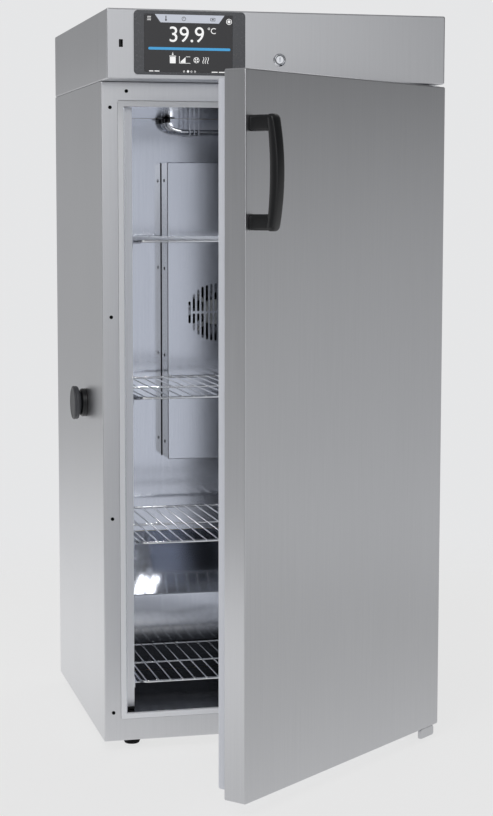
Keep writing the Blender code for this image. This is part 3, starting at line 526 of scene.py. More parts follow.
# which CAD nodes stay as they are, by finish
carriedOver = {
    "ground stainless steel": ["side_panel_left", "side_panel_right", "back_panel"],
    "bright rolled stainless steel": [
        "liner_back", "liner_ceiling", "liner_left", "liner_right",
    ] + ["runner_%d_%s" % (row, side) for row in (1, 2, 3, 4) for side in ("left", "right")],
    # the chamber floor takes the rolled sheet whose dark colour is painted shade
    "rolled stainless steel darkened as painted shade": ["liner_floor"],
    "satin duct sheet": ["duct_panel_left", "duct_panel_right"],
    "galvanised sheet": ["base_panel", "top_deck", "hinge_bracket_top", "hinge_bracket_bottom", "fan_motor"],
    "polyurethane foam": ["insulation_foam", "door_foam"],
    "black moulded nylon": ["fan_impeller", "power_inlet", "usb_socket"],
    "green circuit board": ["control_board"],
    "chrome plate": ["temperature_probe"],
    "finned aluminium": ["condenser"],
    "black stove enamel": ["compressor"],
}
for finishName, nodeNames in carriedOver.items():
    for nodeName in nodeNames:
        mesh = frame["nodes"][nodeName].data
        mesh.materials.clear()
        mesh.materials.append(finish[finishName])
print("carried-over nodes finished")

# cabinet front: frame, trim and screws
front = {
    "edge": 0.0018, "trimEdge": 0.0014, "trimWide": 0.0100, "screwRadius": 0.0031, "screwProud": 0.0010,
    "screws": ((-0.284, 1.136), (-0.284, 0.775), (-0.284, 0.420), (-0.284, 0.0715), (-0.2554, 1.164)),
}
low, high = cabinetBox("front_frame")
trimLow, trimHigh = cabinetBox("trim_frame")
outer = np.array([low[0], high[0], low[2], high[2]])
opening = np.array([trimLow[0] - 0.0003, trimHigh[0] + 0.0003, trimLow[2] - 0.0003, trimHigh[2] + 0.0003])
# the sheet's outline is carried from the back round its softened edge, over the face and into the opening
edge, edgeIn = front["edge"], inward * front["edge"]
rows = [outer + edgeIn * (1 - math.cos(a)) for a in quarter] + [outer + edgeIn * 1.6, opening - edgeIn * 0.6]
rows += [opening - edgeIn * 0.25, opening, opening]
depths = [high[1] - edge * math.sin(a) for a in quarter] + [high[1] - edge] * 3
depths += [high[1] - edge + 0.0004, high[1]]
addPiece(
    "frontFrame", [shell(roundedLoops(rows, [0.002] * 6 + [0.003] * 4, depths), True)],
    outerSteel, ["front_frame"],
)
trimRect = (trimLow[0], trimHigh[0], trimLow[2], trimHigh[2])
trimFront, trimBack, wide = trimLow[1], trimHigh[1], front["trimWide"]
trimSection = [(0.0, trimBack), (0.0, trimFront + 0.0004), (0.0008, trimFront), (wide, trimFront), (wide, trimBack)]
addPiece(
    "trimFrame", [shell(insetLoops(trimRect, fillet(trimSection, front["trimEdge"]), 0.002), True)],
    finish["white PVC trim"], ["trim_frame"],
)
screwSpots = list(front["screws"]) + [(-x, z) for x, z in front["screws"]]
r = front["screwRadius"]
screwProfile = [(0, 0.0006), (r * 0.45, 0.0006), (r * 0.5, 0.0002), (r * 0.92, 0.0)]
screwProfile += [(r, 0.00012), (r, 0.0012), (0, 0.0012)]
screwFace = low[1] - front["screwProud"]
addPiece(
    "frameScrews", [turned(screwProfile, (x, screwFace, z), (0, 1, 0), 20) for x, z in screwSpots],
    finish["black oxide steel"],
)
print("front frame done")

# hood: fascia box and cover box
hood = {
    "sheet": 0.0012, "edge": 0.0022, "lockHole": 0.0095, "pinHole": 0.0046, "usbHalf": (0.0034, 0.0065),
    "camSlot": ((-0.008, 0.0165), (0.038, 0.0235)),
}
low, high = cabinetBox("control_fascia")
lockLow, lockHigh = cabinetBox("lock_barrel")
lockX, lockZ = (lockLow[0] + lockHigh[0]) / 2, (lockLow[2] + lockHigh[2]) / 2
usbLow, usbHigh = cabinetBox("usb_socket")
usbX, usbZ = (usbLow[0] + usbHigh[0]) / 2, (usbLow[2] + usbHigh[2]) / 2
pinX, pinY = hingeX - cabinetX, hingeY - cabinetY
fascia = addPiece(
    "controlFascia", [foldedBox((low[0], high[0], low[2], high[2]), high[1], low[1], hood["sheet"], hood["edge"])],
    outerSteel, ["control_fascia"],
)
usbWide, usbTall = hood["usbHalf"]
slotStart, slotEnd = hood["camSlot"]
cutHoles(fascia, [
    rod(hood["lockHole"], 0.01, (lockX, 0, lockZ), (0, 1, 0), 40),
    block((usbX - usbWide, -0.01, usbZ - usbTall), (usbX + usbWide, 0.0016, usbZ + usbTall), 0.0002, 0.0008),
    block((*slotStart, low[2] - 0.01), (*slotEnd, low[2] + 0.008), 0.0004),
    rod(hood["pinHole"], 0.008, (pinX, pinY, low[2]), (0, 0, 1), 24),
])
low, high = cabinetBox("hood_cover")
cover = addPiece(
    "hoodCover", [foldedBox((low[0], high[0], low[2], high[2]), low[1], high[1], hood["sheet"], hood["edge"])],
    outerSteel, ["hood_cover"],
)
inletLow, inletHigh = cabinetBox("power_inlet")
gap = 0.0002
holeLow = (inletLow[0] - gap, high[1] - 0.01, inletLow[2] - gap)
holeHigh = (inletHigh[0] + gap, high[1] + 0.01, inletHigh[2] + gap)
cutHoles(cover, [block(holeLow, holeHigh, 0.0004)])
print("hood done")

# display
display = {
    "corner": 0.007, "edge": 0.0007,
    "reading": "39.9", "unit": "°C",
    "readingHeight": 0.0257, "unitHeight": 0.0103,
    "film": 0.00006,  # how thick a lit sign stands on the glass
}
low, high = cabinetBox("display_bezel")
bezelLeft, bezelTop = low[0], high[2]
screenLow, screenHigh = cabinetBox("display_screen")
screenRect = np.array([screenLow[0] - gap, screenHigh[0] + gap, screenLow[2] - gap, screenHigh[2] + gap])
bezelRect = np.array([low[0], high[0], low[2], high[2]])
e = display["edge"]
rows = [bezelRect + inward * e * (1 - math.cos(a)) for a in quarter] + [bezelRect + inward * e * 2]
rows += [screenRect - inward * e, screenRect - inward * e * 0.3, screenRect, screenRect]
depths = [low[1] + e * (1 - math.sin(a)) for a in quarter] + [low[1]] * 3 + [low[1] + 0.0003, high[1]]
corners = [display["corner"]] * 6 + [0.001] * 4
rows, depths, corners = [bezelRect] + rows, [high[1]] + depths, [display["corner"]] + corners
addPiece(
    "displayBezel", [shell(roundedLoops(rows, corners, depths, 8), True)],
    finish["grey printed glass"], ["display_bezel"],
)
addPiece(
    "displayScreen", [block(screenLow, screenHigh, 0.0002, 0.0008)],
    finish["display glass"], ["display_screen"],
)


def litSheet(loops, holder):
    # outlines in millimetres right of and below the surround's top left corner, as a thin sheet on the glass
    places = [np.column_stack([bezelLeft + loop[:, 0] / 1000, bezelTop - loop[:, 1] / 1000]) for loop in loops]
    points, faces = flatSheet(places, display["film"], holder)
    return points + (0, signFace, 0), faces


def bar(x0, y0, x1, y1, corner=0.0):
    return roundedLoops([(x0, x1, y0, y1)], max(corner, 0.02), [0.0], 3)[0][:, [0, 2]]


def dot(x, y, radius, sides=24):
    return circle(radius, sides) + (x, y)


def signText(text, height, left, top, holder):
    # digits and signs scaled to their height, with their left side and top at a place in millimetres
    curve = bpy.data.curves.new(holder, "FONT")
    curve.body, curve.extrude = text, display["film"] / 2
    points, faces = readFlat(curve, holder)
    size = points.max(0) - points.min(0)
    points = (points - points.min(0)) * (height / size[2])
    points[:, 1] = np.where(points[:, 1] > points[:, 1].mean(), display["film"], 0.0)
    place = (bezelLeft + left / 1000, signFace - display["film"] / 2, bezelTop - top / 1000 - height)
    return points + place, faces


signFace = screenLow[1] - display["film"]
# three menu lines and a target
signs = [bar(26.0 - 3.2, y - 0.45, 26.0 + 3.2, y + 0.45) for y in (10.4, 13.2, 16.0)]
signs += [dot(164.4, 16.4, 5.0), dot(164.4, 16.4, 4.0), dot(164.4, 16.4, 2.6)]
# four page dots, one of them full
signs += [dot(85.9, 100.9, 1.5), dot(85.9, 100.9, 0.9), dot(92.9, 100.9, 2.0)]
signs += [dot(98.9, 100.9, 1.5), dot(98.9, 100.9, 0.9), dot(105.0, 100.9, 1.5), dot(105.0, 100.9, 0.9)]
# plain dashes in place of two captions
signs += [bar(25.5, 100.2, 33.0, 101.8, 0.5), bar(35.0, 100.2, 43.5, 101.8, 0.5)]
signs += [bar(134.0, 100.6, 144.5, 102.2, 0.5), bar(146.5, 100.6, 157.0, 102.2, 0.5)]
# a container with an arrow over it
signs += [bar(61.5, 77.0, 71.5, 87.6, 0.8), bar(60.8, 75.0, 72.2, 76.2, 0.3), bar(66.0, 69.5, 67.0, 72.2)]
signs += [np.array([(64.6, 72.0), (68.4, 72.0), (66.5, 74.4)])]
# a rising chart between two axes
signs += [bar(77.6, 75.4, 78.5, 87.6), bar(78.8, 86.8, 97.0, 87.6)]
signs += [np.array([(80.0, 86.4), (80.0, 84.6), (88.6, 77.0), (88.6, 86.4)]), bar(89.4, 76.0, 96.6, 76.8)]
# a fan in a round housing
signs += [dot(107.6, 81.8, 5.0), dot(107.6, 81.8, 4.1)]
blade = np.array([(0.5, 0.3), (3.2, 1.6), (2.6, 3.0), (0.6, 2.6)])
for turn in np.arange(4) * math.pi / 2:
    spin = np.array([[math.cos(turn), math.sin(turn)], [-math.sin(turn), math.cos(turn)]])
    signs.append(blade @ spin + (107.6, 81.8))
# three warm-air waves
t = np.linspace(0, 1, 9)
for x in (119.6, 123.6, 127.6):
    wave = x + 1.0 * np.sin(t * 2 * math.pi)
    y = 76.6 + t * 10.8
    signs.append(np.concatenate([np.column_stack([wave - 0.55, y]), np.column_stack([wave + 0.55, y])[::-1]]))
white = [
    litSheet(signs, "signs"),
    signText(display["reading"], display["readingHeight"], 61.3, 26.3, "reading"),
    signText(display["unit"], display["unitHeight"], 127.4, 27.0, "unit"),
]
addPiece("displaySigns", white, finish["white display light"])
banner = [np.array([(35.9, 6.3), (156.4, 6.3), (146.7, 19.8), (45.7, 19.8)])]
# a thermometer, a clock and a small frame, left open in the banner
banner += [bar(54.2, 8.4, 55.8, 14.0, 0.7), dot(55.0, 15.6, 1.6)]
banner += [dot(85.9, 13.2, 3.6), dot(85.9, 13.2, 2.8), bar(85.5, 10.8, 86.2, 13.6)]
banner += [bar(132.0, 10.6, 140.4, 16.0, 0.6), bar(132.8, 11.4, 139.6, 15.2, 0.4), bar(134.6, 12.4, 137.8, 14.2)]
addPiece("displayBanner", [litSheet(banner, "banner")], finish["pale display light"])
blueBar = litSheet([bar(24.5, 61.0, 166.7, 65.4, 2.0)], "bar")
addPiece("displayBar", [blueBar], finish["blue display light"])
print("display done")

# lock and USB socket
lock = {
    "ring": 0.0110, "proud": 0.0030, "bore": 0.0074, "neck": 0.0092, "deep": 0.0160, "core": 0.0070,
    "keyWide": 0.0014, "keyHigh": 0.0082, "camLeft": -0.006, "camHalf": 0.006, "camDepths": (0.0182, 0.0203),
}
bore, ring, neck, proud, deep = (lock[key] for key in ("bore", "ring", "neck", "proud", "deep"))
ringProfile = [(bore, -proud + 0.0006), (bore + 0.0008, -proud), (ring - 0.0022, -proud), (ring, -0.0008)]
ringProfile += [(ring, -0.0001), (neck, -0.0001), (neck, deep), (bore, deep)]
addPiece(
    "lockRing", [turned(fillet(ringProfile, 0.0005, 3), (lockX, 0, lockZ), (0, 1, 0), 48, True)],
    chrome, ["lock_barrel"],
)
coreLow, coreHigh = cabinetBox("lock_core")
coreProfile = [(0, coreLow[1]), (lock["core"], coreLow[1]), (lock["core"], coreHigh[1]), (0, coreHigh[1])]
coreProfile = fillet(coreProfile, 0.0006, 3, False)
core = addPiece(
    "lockCore", [turned(coreProfile, (lockX, 0, lockZ), (0, 1, 0), 40, False, False)],
    chrome, ["lock_core"], "lock",
)
keyWide, keyHigh = lock["keyWide"] / 2, lock["keyHigh"] / 2
keyFront, keyBack = coreLow[1] - 0.002, coreLow[1] + 0.0050
keyway = block((lockX - keyWide, keyFront, lockZ - keyHigh), (lockX + keyWide, keyBack, lockZ + keyHigh), 0.0002)
cutHoles(core, [keyway])
camHalf, (camFront, camBack) = lock["camHalf"], lock["camDepths"]
cam = block((lock["camLeft"], camFront, lockZ - camHalf), (coreHigh[0], camBack, lockZ + camHalf), 0.0005, 0.005)
addPiece("lockCam", [cam], finish["galvanised sheet"], (), "lock")
tongue = block((usbX - 0.0009, 0.0040, usbZ - 0.0050), (usbX + 0.0009, 0.0158, usbZ + 0.0050), 0.0002)
addPiece("usbTongue", [tongue], nylon)
print("lock and socket done")

# door
door = {
    "edge": 0.0024, "corner": 0.004, "hem": 0.0012, "rim": 0.048, "dish": 0.053, "dishEdge": 0.004,
    "sealWide": 0.020,
}
skinLow, skinHigh = doorBox("door_skin")
linerLow, linerHigh = doorBox("door_liner")
skinRect = (skinLow[0], skinHigh[0], skinLow[2], skinHigh[2])
e, hem = door["edge"], door["hem"]
front, back = skinLow[1], skinHigh[1]
skinProfile = np.concatenate([
    fillet([(e * 4, front), (0, front), (0, front + 0.02)], e, 5, False),
    fillet([(0, back - 0.004), (0, back), (hem, back), (hem, back - 0.0016)], 0.0004, 3, False),
    [(0.006, back - 0.0018)],
])
skin = addPiece(
    "doorSkin", [shell(insetLoops(skinRect, skinProfile, door["corner"], 5))],
    outerSteel, ["door_skin"], "door", toDoor,
)
# the cam's slot in the top edge, and the hole for the upper pin
slotX, top = -(hingeX - cabinetX), skinHigh[2]
camSlot = block((slotX - 0.008, -0.0075, top - 0.016), (slotX + 0.038, -0.0005, top + 0.01), 0.0004)
cutHoles(skin, [camSlot, rod(0.0045, 0.015, (0, 0, top), (0, 0, 1), 24)], toDoor)
dishDeep = linerHigh[1]
linerRect = (linerLow[0] + 0.0002, linerHigh[0] - 0.0002, linerLow[2] + 0.0002, linerHigh[2] - 0.0002)
dish = [(0.002, back), (door["rim"], back), (door["dish"], dishDeep), (0.080, dishDeep)]
linerProfile = [(0.004, linerLow[1]), (0.0, linerLow[1]), (0.0, back)]
linerProfile = np.concatenate([linerProfile, fillet(dish, door["dishEdge"], 5, False)])
addPiece(
    "doorLiner", [shell(insetLoops(linerRect, linerProfile, 0.012, 6))],
    linerSteel, ["door_liner"], "door", toDoor,
)
sealLow, sealHigh = doorBox("door_gasket")
base, face, wide = sealLow[1], sealHigh[1], door["sealWide"]
# half of the seal's section runs from its base over its waist to its face; the other half mirrors it
halfSeal = [(0.0010, base + 0.0030), (0.0045, base + 0.0050), (0.0002, base + 0.0085)]
halfSeal += [(0.0002, face - 0.0020), (0.0016, face)]
sealSection = [(0.0010, base)] + [(wide - u, v) for u, v in [(0.0010, base)] + halfSeal] + halfSeal[::-1]
sealRect = (sealLow[0], sealHigh[0], sealLow[2], sealHigh[2])
addPiece(
    "doorSeal", [shell(insetLoops(sealRect, fillet(sealSection, 0.0012, 3), 0.004, 3), True)],
    finish["silicone door seal"], ["door_gasket"], "door", toDoor,
)
print("door done")

# door handle
handle = {
    "bow": 0.0098, "innerBow": 0.0060, "grip": 0.0175, "wide": 0.0220, "postHigh": 0.0250, "postWide": 0.0190,
    "squareness": 3.6, "endLong": 0.0075,
}
gripLow, gripHigh = doorBox("door_handle")
gripX = (gripLow[0] + gripHigh[0]) / 2
gripZ = (gripLow[2] + gripHigh[2]) / 2
half = (gripHigh[2] - gripLow[2]) / 2
faceY, farY = gripHigh[1], gripLow[1]
# the grip: its outer side is the arc farY + bow h^2, its inner side farY + grip + innerBow h^2, with h from
# -1 to 1 along it
h = np.concatenate([-1 + 0.08 * (1 - np.cos(np.linspace(0, math.pi / 2, 7))), np.linspace(-0.86, 0.0, 14)])
h = np.concatenate([h, -h[-2::-1]])
outerY = farY + handle["bow"] * h * h
innerY = farY + handle["grip"] + handle["innerBow"] * h * h
path = np.stack([np.full(len(h), gripX), (outerY + innerY) / 2, gripZ + h * half], 1)
# towards each end the section shrinks as a quarter circle: sqrt(1 - u^2), with u from 0 to 1 over its length
u = np.clip((np.abs(h) * half - (half - handle["endLong"])) / handle["endLong"], 0, 1)
endShare = np.sqrt(np.maximum(1 - u * u, 0.01))
a = np.linspace(0, 2 * math.pi, 32, endpoint=False)
power = 2 / handle["squareness"]
# the section is a superellipse: sign(cos a) |cos a|^power across, the same with sin through
unit = np.stack([np.sign(wave) * np.abs(wave) ** power for wave in (np.cos(a), np.sin(a))], 1)
thick = (innerY - outerY) / 2
grid = np.empty((len(h), len(a), 3))
grid[:, :, 0] = path[:, :1] + unit[None, :, 0] * (handle["wide"] / 2 * (0.35 + 0.65 * endShare))[:, None]
grid[:, :, 1] = path[:, 1:2] + unit[None, :, 1] * thick[:, None] * (0.45 + 0.55 * endShare)[:, None]
grid[:, :, 2] = path[:, 2:]
handleParts = [shell(grid)]
# the posts: upright rounded bars from the door's face into the grip
halfWide, halfHigh = handle["postWide"] / 2, handle["postHigh"] / 2
reach = farY + handle["bow"] + handle["grip"] * 0.55
for end in (-1, 1):
    postZ = gripZ + end * (half - halfHigh - 0.001)
    ends = (gripX - halfWide, reach, postZ - halfHigh), (gripX + halfWide, faceY, postZ + halfHigh)
    handleParts.append(block(*ends, 0.0012, 0.0055))
addPiece("doorHandle", handleParts, nylon, ["door_handle"], "door", toDoor, 50)
print("handle done")

# lower hinge block
low, high = doorBox("door_pivot_block")
strap = {"deep": 0.006, "lugHalf": 0.012, "lugLow": 0.0195, "edge": 0.0012, "corner": 0.0045}
strapBody = block(low, (high[0], low[1] + strap["deep"], high[2]), strap["edge"], strap["corner"])
# the lug is made standing and laid flat by swapping y and z
lugHalf, lugFront = strap["lugHalf"], low[1] + strap["deep"] - 0.0005
lugPoints, lugFaces = block((-lugHalf, strap["lugLow"], lugFront), (lugHalf, high[2], high[1]), 0.0008, 0.004)
hingePiece = addPiece(
    "doorPivotBlock", [strapBody, (lugPoints[:, [0, 2, 1]], lugFaces)],
    outerSteel, ["door_pivot_block"], "door", toDoor,
)
cutHoles(hingePiece, [rod(0.0043, 0.02, (0, 0, strap["lugLow"]), (0, 0, 1), 24)], toDoor)
print("hinge block done")

# shelves
shelf = {"bead": 0.0021, "wire": 0.0015, "bar": 0.0025, "wires": 21, "pitch": 0.022, "corner": 0.012}
b, w = shelf["bar"], shelf["wire"]
xs = (np.arange(shelf["wires"]) - (shelf["wires"] - 1) / 2) * shelf["pitch"]
# the weld at each wire's front end leaves a small bead: a ball turned from a half circle
beadArc = np.linspace(-math.pi / 2, math.pi / 2, 6)
bead = np.stack([np.cos(beadArc), np.sin(beadArc)], 1) * shelf["bead"]
for row in (1, 2, 3, 4):
    node = "shelf_%d" % row
    low, high = cabinetBox(node)
    mid = (low[2] + high[2]) / 2
    x0, x1, y0, y1 = low[0] + b, high[0] - b, low[1] + b, high[1] - b
    # the border bar is one round bar bent into a rectangle
    around = np.array(roundedLoops([(x0, x1, y0, y1)], shelf["corner"], [0.0], 6)[0][:, [0, 2]])
    around = np.concatenate([around, np.full((len(around), 1), mid)], 1)
    closed = np.concatenate([around[-1:], around, around[:1]])
    parts = [shell(carried(circle(b * 0.94, 10), closed, (0.0, 0.0, 1.0))[1:-1], True)]
    # each wire runs over the cross bar and turns down at the front against the border bar
    top = high[2] - w * 0.55
    side = [(y0 + b * 0.35, top - 0.0035), (y0 - b * 0.35 + 0.0010, top - 0.0010), (y0 + 0.0035, top)]
    side += [(y, top) for y in (y0 + 0.012, *np.linspace(y0 + 0.03, y1 - 0.002, 6))]
    wires = np.empty((len(xs), len(side), 3))
    wires[:, :, 0] = xs[:, None]
    wires[:, :, 1:] = side
    parts += tubes(wires, w, (1.0, 0.0, 0.0), 8)
    parts += [turned(bead, (x, y0 - 0.0006, top - 0.0004), (0, 0, 1), 8, False, False) for x in xs]
    cross = np.stack([np.linspace(x0, x1, 5), np.full(5, (y0 + y1) / 2), np.full(5, mid - 0.0003)], 1)
    parts += tubes(cross[None], b * 0.8, (0.0, 0.0, 1.0), 10)
    addPiece("shelf%dWires" % row, parts, wireSteel, [node], node + "_body", toCabinet, 50)
# dark glides under the front folds of the ducts
glides = []
for side in ("left", "right"):
    low, high = cabinetBox("duct_panel_" + side)
    glideBack = (high[0], low[1] + 0.002, low[2] + 0.0045)
    glides.append(block((low[0], low[1] - 0.0020, low[2]), glideBack, 0.0005, 0.0010))
addPiece("ductGlides", glides, nylon)
print("shelves done")

# fan cover
fan = {
    "radius": 0.057, "columns": 13, "pitch": 0.0088, "slot": 0.0048, "bar": 0.004, "sheet": 0.0012, "edge": 0.002,
    "screwY": 0.520, "screwZ": (-0.2595, -0.0862, 0.0862, 0.2595),
}
low, high = cabinetBox("fan_cover")
impellerLow, impellerHigh = cabinetBox("fan_impeller")
fanZ = (impellerLow[2] + impellerHigh[2]) / 2
coverRect = (low[0], high[0], low[2], high[2])
fanCover = addPiece(
    "fanCover", [foldedBox(coverRect, high[1], low[1], fan["sheet"], fan["edge"])],
    linerSteel, ["fan_cover"],
)


def slotCutter(x, z0, z1):
    # an upright slot with half-round ends, as a short column through the sheet
    rect = (x - fan["slot"] / 2, x + fan["slot"] / 2, z0, z1)
    return shell(roundedLoops([rect, rect], fan["slot"] * 0.495, [low[1] - 0.002, low[1] + 0.004], 5))


slots = []
for x in (np.arange(fan["columns"]) - (fan["columns"] - 1) / 2) * fan["pitch"]:
    reach = math.sqrt(max(fan["radius"] ** 2 - x * x, 0.0))
    if reach > 0.024:
        slots.append(slotCutter(x, fanZ + fan["bar"] / 2, fanZ + reach))
        slots.append(slotCutter(x, fanZ - reach, fanZ - fan["bar"] / 2))
    elif reach > 0.006:
        slots.append(slotCutter(x, fanZ - reach, fanZ + reach))
cutHoles(fanCover, slots)
coverScrews = [(low[0] - 0.0002, z, -1) for z in fanZ + np.array(fan["screwZ"])]
coverScrews += [(high[0] + 0.0002, z, 1) for x, z, sign in coverScrews]
head = [(0, 0.0004), (0.0012, 0.0004), (0.0015, 0.0009), (0.0026, 0.0007)]
head += [(0.0034, 0.0), (0.0034, -0.0008), (0, -0.0008)]
addPiece(
    "coverScrews", [turned(head, (x, fan["screwY"], z), (sign, 0, 0), 20) for x, z, sign in coverScrews],
    finish["black oxide steel"],
)
# a dark sealing bead closes the seam between the cover's sides and the back wall
seam = {"wide": 0.0013, "deep": 0.0014}
wallY = cabinetBox("liner_back")[0][1]
half = seam["wide"] / 2
seamParts = [
    block((x - half, wallY - seam["deep"], low[2]), (x + half, wallY - 0.0001, high[2]), 0.0004)
    for x in (low[0] - half, high[0] + half)
]
addPiece("coverSeams", seamParts, finish["black rubber"])
print("fan cover done")

# heater
heater = {
    "radius": 0.0040, "bend": 0.030, "endBend": 0.014, "sides": 14,
    "entry": 0.010, "nut": 0.0064, "nutHigh": 0.0070, "flange": 0.0080, "flangeThick": 0.0014,
}
low, high = cabinetBox("heater_element")
r = heater["radius"]
level, leftX, rightX = low[2] + r, low[0] + r, high[0] - r
frontY, backY = low[1] + r, high[1] - r
entryX = leftX - heater["entry"]


def quarterBend(y):
    # the leg leaves its nut steeply and sweeps into the level run: x = entry + reach (1 - cos a),
    # z = level + drop (1 - sin a), with a from 0 to a quarter turn
    a = np.linspace(0, math.pi / 2, 12)
    x = entryX + (heater["bend"] + heater["entry"]) * (1 - np.cos(a)) * 0.96
    z = level + (high[2] - level) * (1 - np.sin(a))
    return np.stack([x, np.full(12, y), z], 1)


runX = rightX - 0.03
farBend = [(runX, frontY, level), (rightX, frontY, level), (rightX, backY, level), (runX, backY, level)]
farBend = fillet(farBend, heater["endBend"], 6, False)
route = np.concatenate([quarterBend(frontY), farBend, quarterBend(backY)[::-1]])
steady = (0.24, 0.31, 0.17)  # a direction that the tube never runs along, so that its section doesn't flip
addPiece(
    "heaterTube", [shell(carried(circle(r, heater["sides"]), route, steady))],
    chrome, ["heater_element"], sharp=60,
)
# two hexagonal nuts on a thin flange
flangeZ = cabinetBox("heater_gland")[1][2]
nut, nutEnd = heater["nut"], -heater["nutHigh"] - 0.0015
hexagon = [(0, 0.0), (nut, 0.0), (nut, -heater["nutHigh"]), (nut * 0.8, nutEnd), (0, nutEnd)]
glandParts = [
    turned(hexagon, (entryX, y, flangeZ - 0.0012), (0, 0, 1), 6, False, False) for y in (frontY, backY)
]
thick, around = heater["flangeThick"], heater["flange"]
flange = block((leftX - 0.022, frontY - around, 0), (leftX + 0.004, backY + around, thick), 0.0004, 0.004)
glandParts.append((flange[0] + (0, 0, flangeZ - thick), flange[1]))
addPiece("heaterGland", glandParts, nylon, ["heater_gland"])
# the clip: three narrow straps down from the ceiling to a saddle under the tubes
low, high = cabinetBox("heater_clip")
clipParts = [
    block((x - 0.0011, low[1], low[2]), (x + 0.0011, low[1] + 0.0012, high[2]), 0.0003)
    for x in np.linspace(low[0] + 0.0012, high[0] - 0.0012, 3)
]
clipParts.append(block((low[0], low[1], low[2]), (high[0], high[1], low[2] + 0.0012), 0.0003))
addPiece("heaterClip", clipParts, linerSteel, ["heater_clip"])
print("heater done")

# step cover over the compressor
low, high = cabinetBox("step_cover")
step = {"sheet": 0.0012, "foldZ": 0.216, "edge": 0.0022}
t = step["sheet"]
fold = (low[1], step["foldZ"])
backTop = (wallY - 0.0001, high[2] - 0.0002)
slope = np.subtract(backTop, fold) / np.linalg.norm(np.subtract(backTop, fold))
section = [(low[1], low[2] + t), fold, backTop, (backTop[0], backTop[1] - t / slope[0])]
section += [(low[1] + t, fold[1] - 0.0009), (low[1] + t, low[2] + t)]
section = fillet(section, step["edge"], 4)
ends = np.array([low[0], low[0] + 0.0002, high[0] - 0.0002, high[0]])
grid = np.empty((len(ends), len(section), 3))
grid[:, :, 0], grid[:, :, 1:] = ends[:, None], section
addPiece("stepCover", [shell(grid)], finish["step sheet with painted shade low down"], ["step_cover"])
print("step cover done")

# feet
foot = {"pad": 0.0158, "sole": 0.0128, "boss": 0.0110, "stud": 0.0040}
pad, sole, boss, stud = (foot[key] for key in ("pad", "sole", "boss", "stud"))
for end in ("front", "rear"):
    for side in ("left", "right"):
        node = "foot_%s_%s" % (end, side)
        low, high = cabinetBox(node)
        centre = ((low[0] + high[0]) / 2, (low[1] + high[1]) / 2, 0)
        profile = [
            (0, 0), (sole * 0.6, 0), (sole, 0.0), (pad - 0.0006, 0.0052), (pad, 0.0078), (boss + 0.001, 0.0100),
            (boss, 0.0110), (boss, 0.0196), (stud, 0.0197), (stud, high[2]), (0, high[2]),
        ]
        pieceName = "foot" + end.capitalize() + side.capitalize()
        addPiece(
            pieceName, [turned(fillet(profile, 0.0012, 3, False), centre, (0, 0, 1), 36, False, False)],
            finish["black rubber"], [node], node + "_body",
        )
print("feet done")

# access port
port = {"collar": 0.0260, "bore": 0.0200, "neck": 0.0220, "proud": 0.0110, "disk": 0.0307}
collar, bore, neck, proud, disk = (port[key] for key in ("collar", "bore", "neck", "proud", "disk"))
low, high = cabinetBox("port_collar")
centre = (cabinetBox("side_panel_left")[0][0], (low[1] + high[1]) / 2, (low[2] + high[2]) / 2)
deep = high[0] - centre[0]
collarProfile = [(bore, proud - 0.0004), (collar - 0.0030, proud), (collar, proud - 0.0034)]
collarProfile += [(collar - 0.0004, 0.0030), (collar, 0.0003), (neck, 0.0003), (neck, -deep), (bore, -deep)]
addPiece(
    "portCollar", [turned(fillet(collarProfile, 0.0013, 4), centre, (-1, 0, 0), 48, True)],
    nylon, ["port_collar"],
)
low, high = cabinetBox("port_plug")
deep = high[0] - centre[0]
reach = centre[0] - low[0]
# (radius, distance behind the plug's face) over its ribbed head, then its stem down into the bore
headProfile = [
    (0, 0.0008), (disk - 0.0052, 0.0008), (disk - 0.0036, 0.0), (disk - 0.0008, 0.0008), (disk, 0.0030),
    (disk - 0.0008, 0.0050), (disk, 0.0072), (disk - 0.0017, 0.0105), (0.0225, 0.0105),
]
stemProfile = [(0.0215, 0.0116), (0.0195, 0.0113), (0.0190, -deep), (0, -deep)]
plugProfile = fillet([(radius, reach - behind) for radius, behind in headProfile] + stemProfile, 0.0010, 3, False)
addPiece(
    "portPlug", [turned(plugProfile, centre, (-1, 0, 0), 56, False, False)],
    finish["grey silicone"], ["port_plug"], "plug",
)
print("port done")

# stage, camera and light
stage = {"radius": 2.4, "soft": 0.5, "shade": 0.22, "glow": 0.70, "behind": 0.76, "ahead": 0.42}
a = np.linspace(0, 2 * math.pi, 96, endpoint=False)
rim = np.stack([np.cos(a) * stage["radius"], np.sin(a) * stage["radius"], np.full(len(a), -0.0002)], 1)
floorMesh = bpy.data.meshes.new("floor")
floorMesh.from_pydata(rim.tolist(), [], [list(range(len(a)))])
floor = bpy.data.objects.new("floor", floorMesh)
scene.collection.objects.link(floor)
# a matt pale floor that fades into the backdrop at its rim
floorLook = bpy.data.materials.new("pale studio floor")
floorLook.use_nodes = True
tree = floorLook.node_tree
tree.nodes.clear()
# to the eye the floor is even; for reflections it is brighter behind on the left than in front on the right
floorPlace = addNode(tree, "TexCoord").outputs["Object"]
spot = addNode(tree, "VectorMath", {"operation": "DOT_PRODUCT", 1: (0.8, -0.6, 0.0)}, {0: floorPlace})
lit = addNode(tree, "MapRange", {
    "From Min": -1.0, "From Max": 1.0, "To Min": stage["behind"], "To Max": stage["ahead"],
    "interpolation_type": "SMOOTHSTEP",
}, {"Value": spot.outputs["Value"]})
eye = addNode(tree, "LightPath").outputs["Is Camera Ray"]
seen = addNode(tree, "Mix", {3: stage["glow"]}, {0: eye, 2: lit.outputs[0]})
matt = addNode(tree, "BsdfPrincipled", {
    "Base Color": (stage["shade"],) * 3 + (1,), "Roughness": 1.0, "Specular IOR Level": 0.0,
    "Emission Color": (1, 1, 1, 1),
}, {"Emission Strength": seen.outputs[0]})
clear = addNode(tree, "BsdfTransparent")
away = addNode(tree, "VectorMath", {"operation": "LENGTH"}, {0: floorPlace})
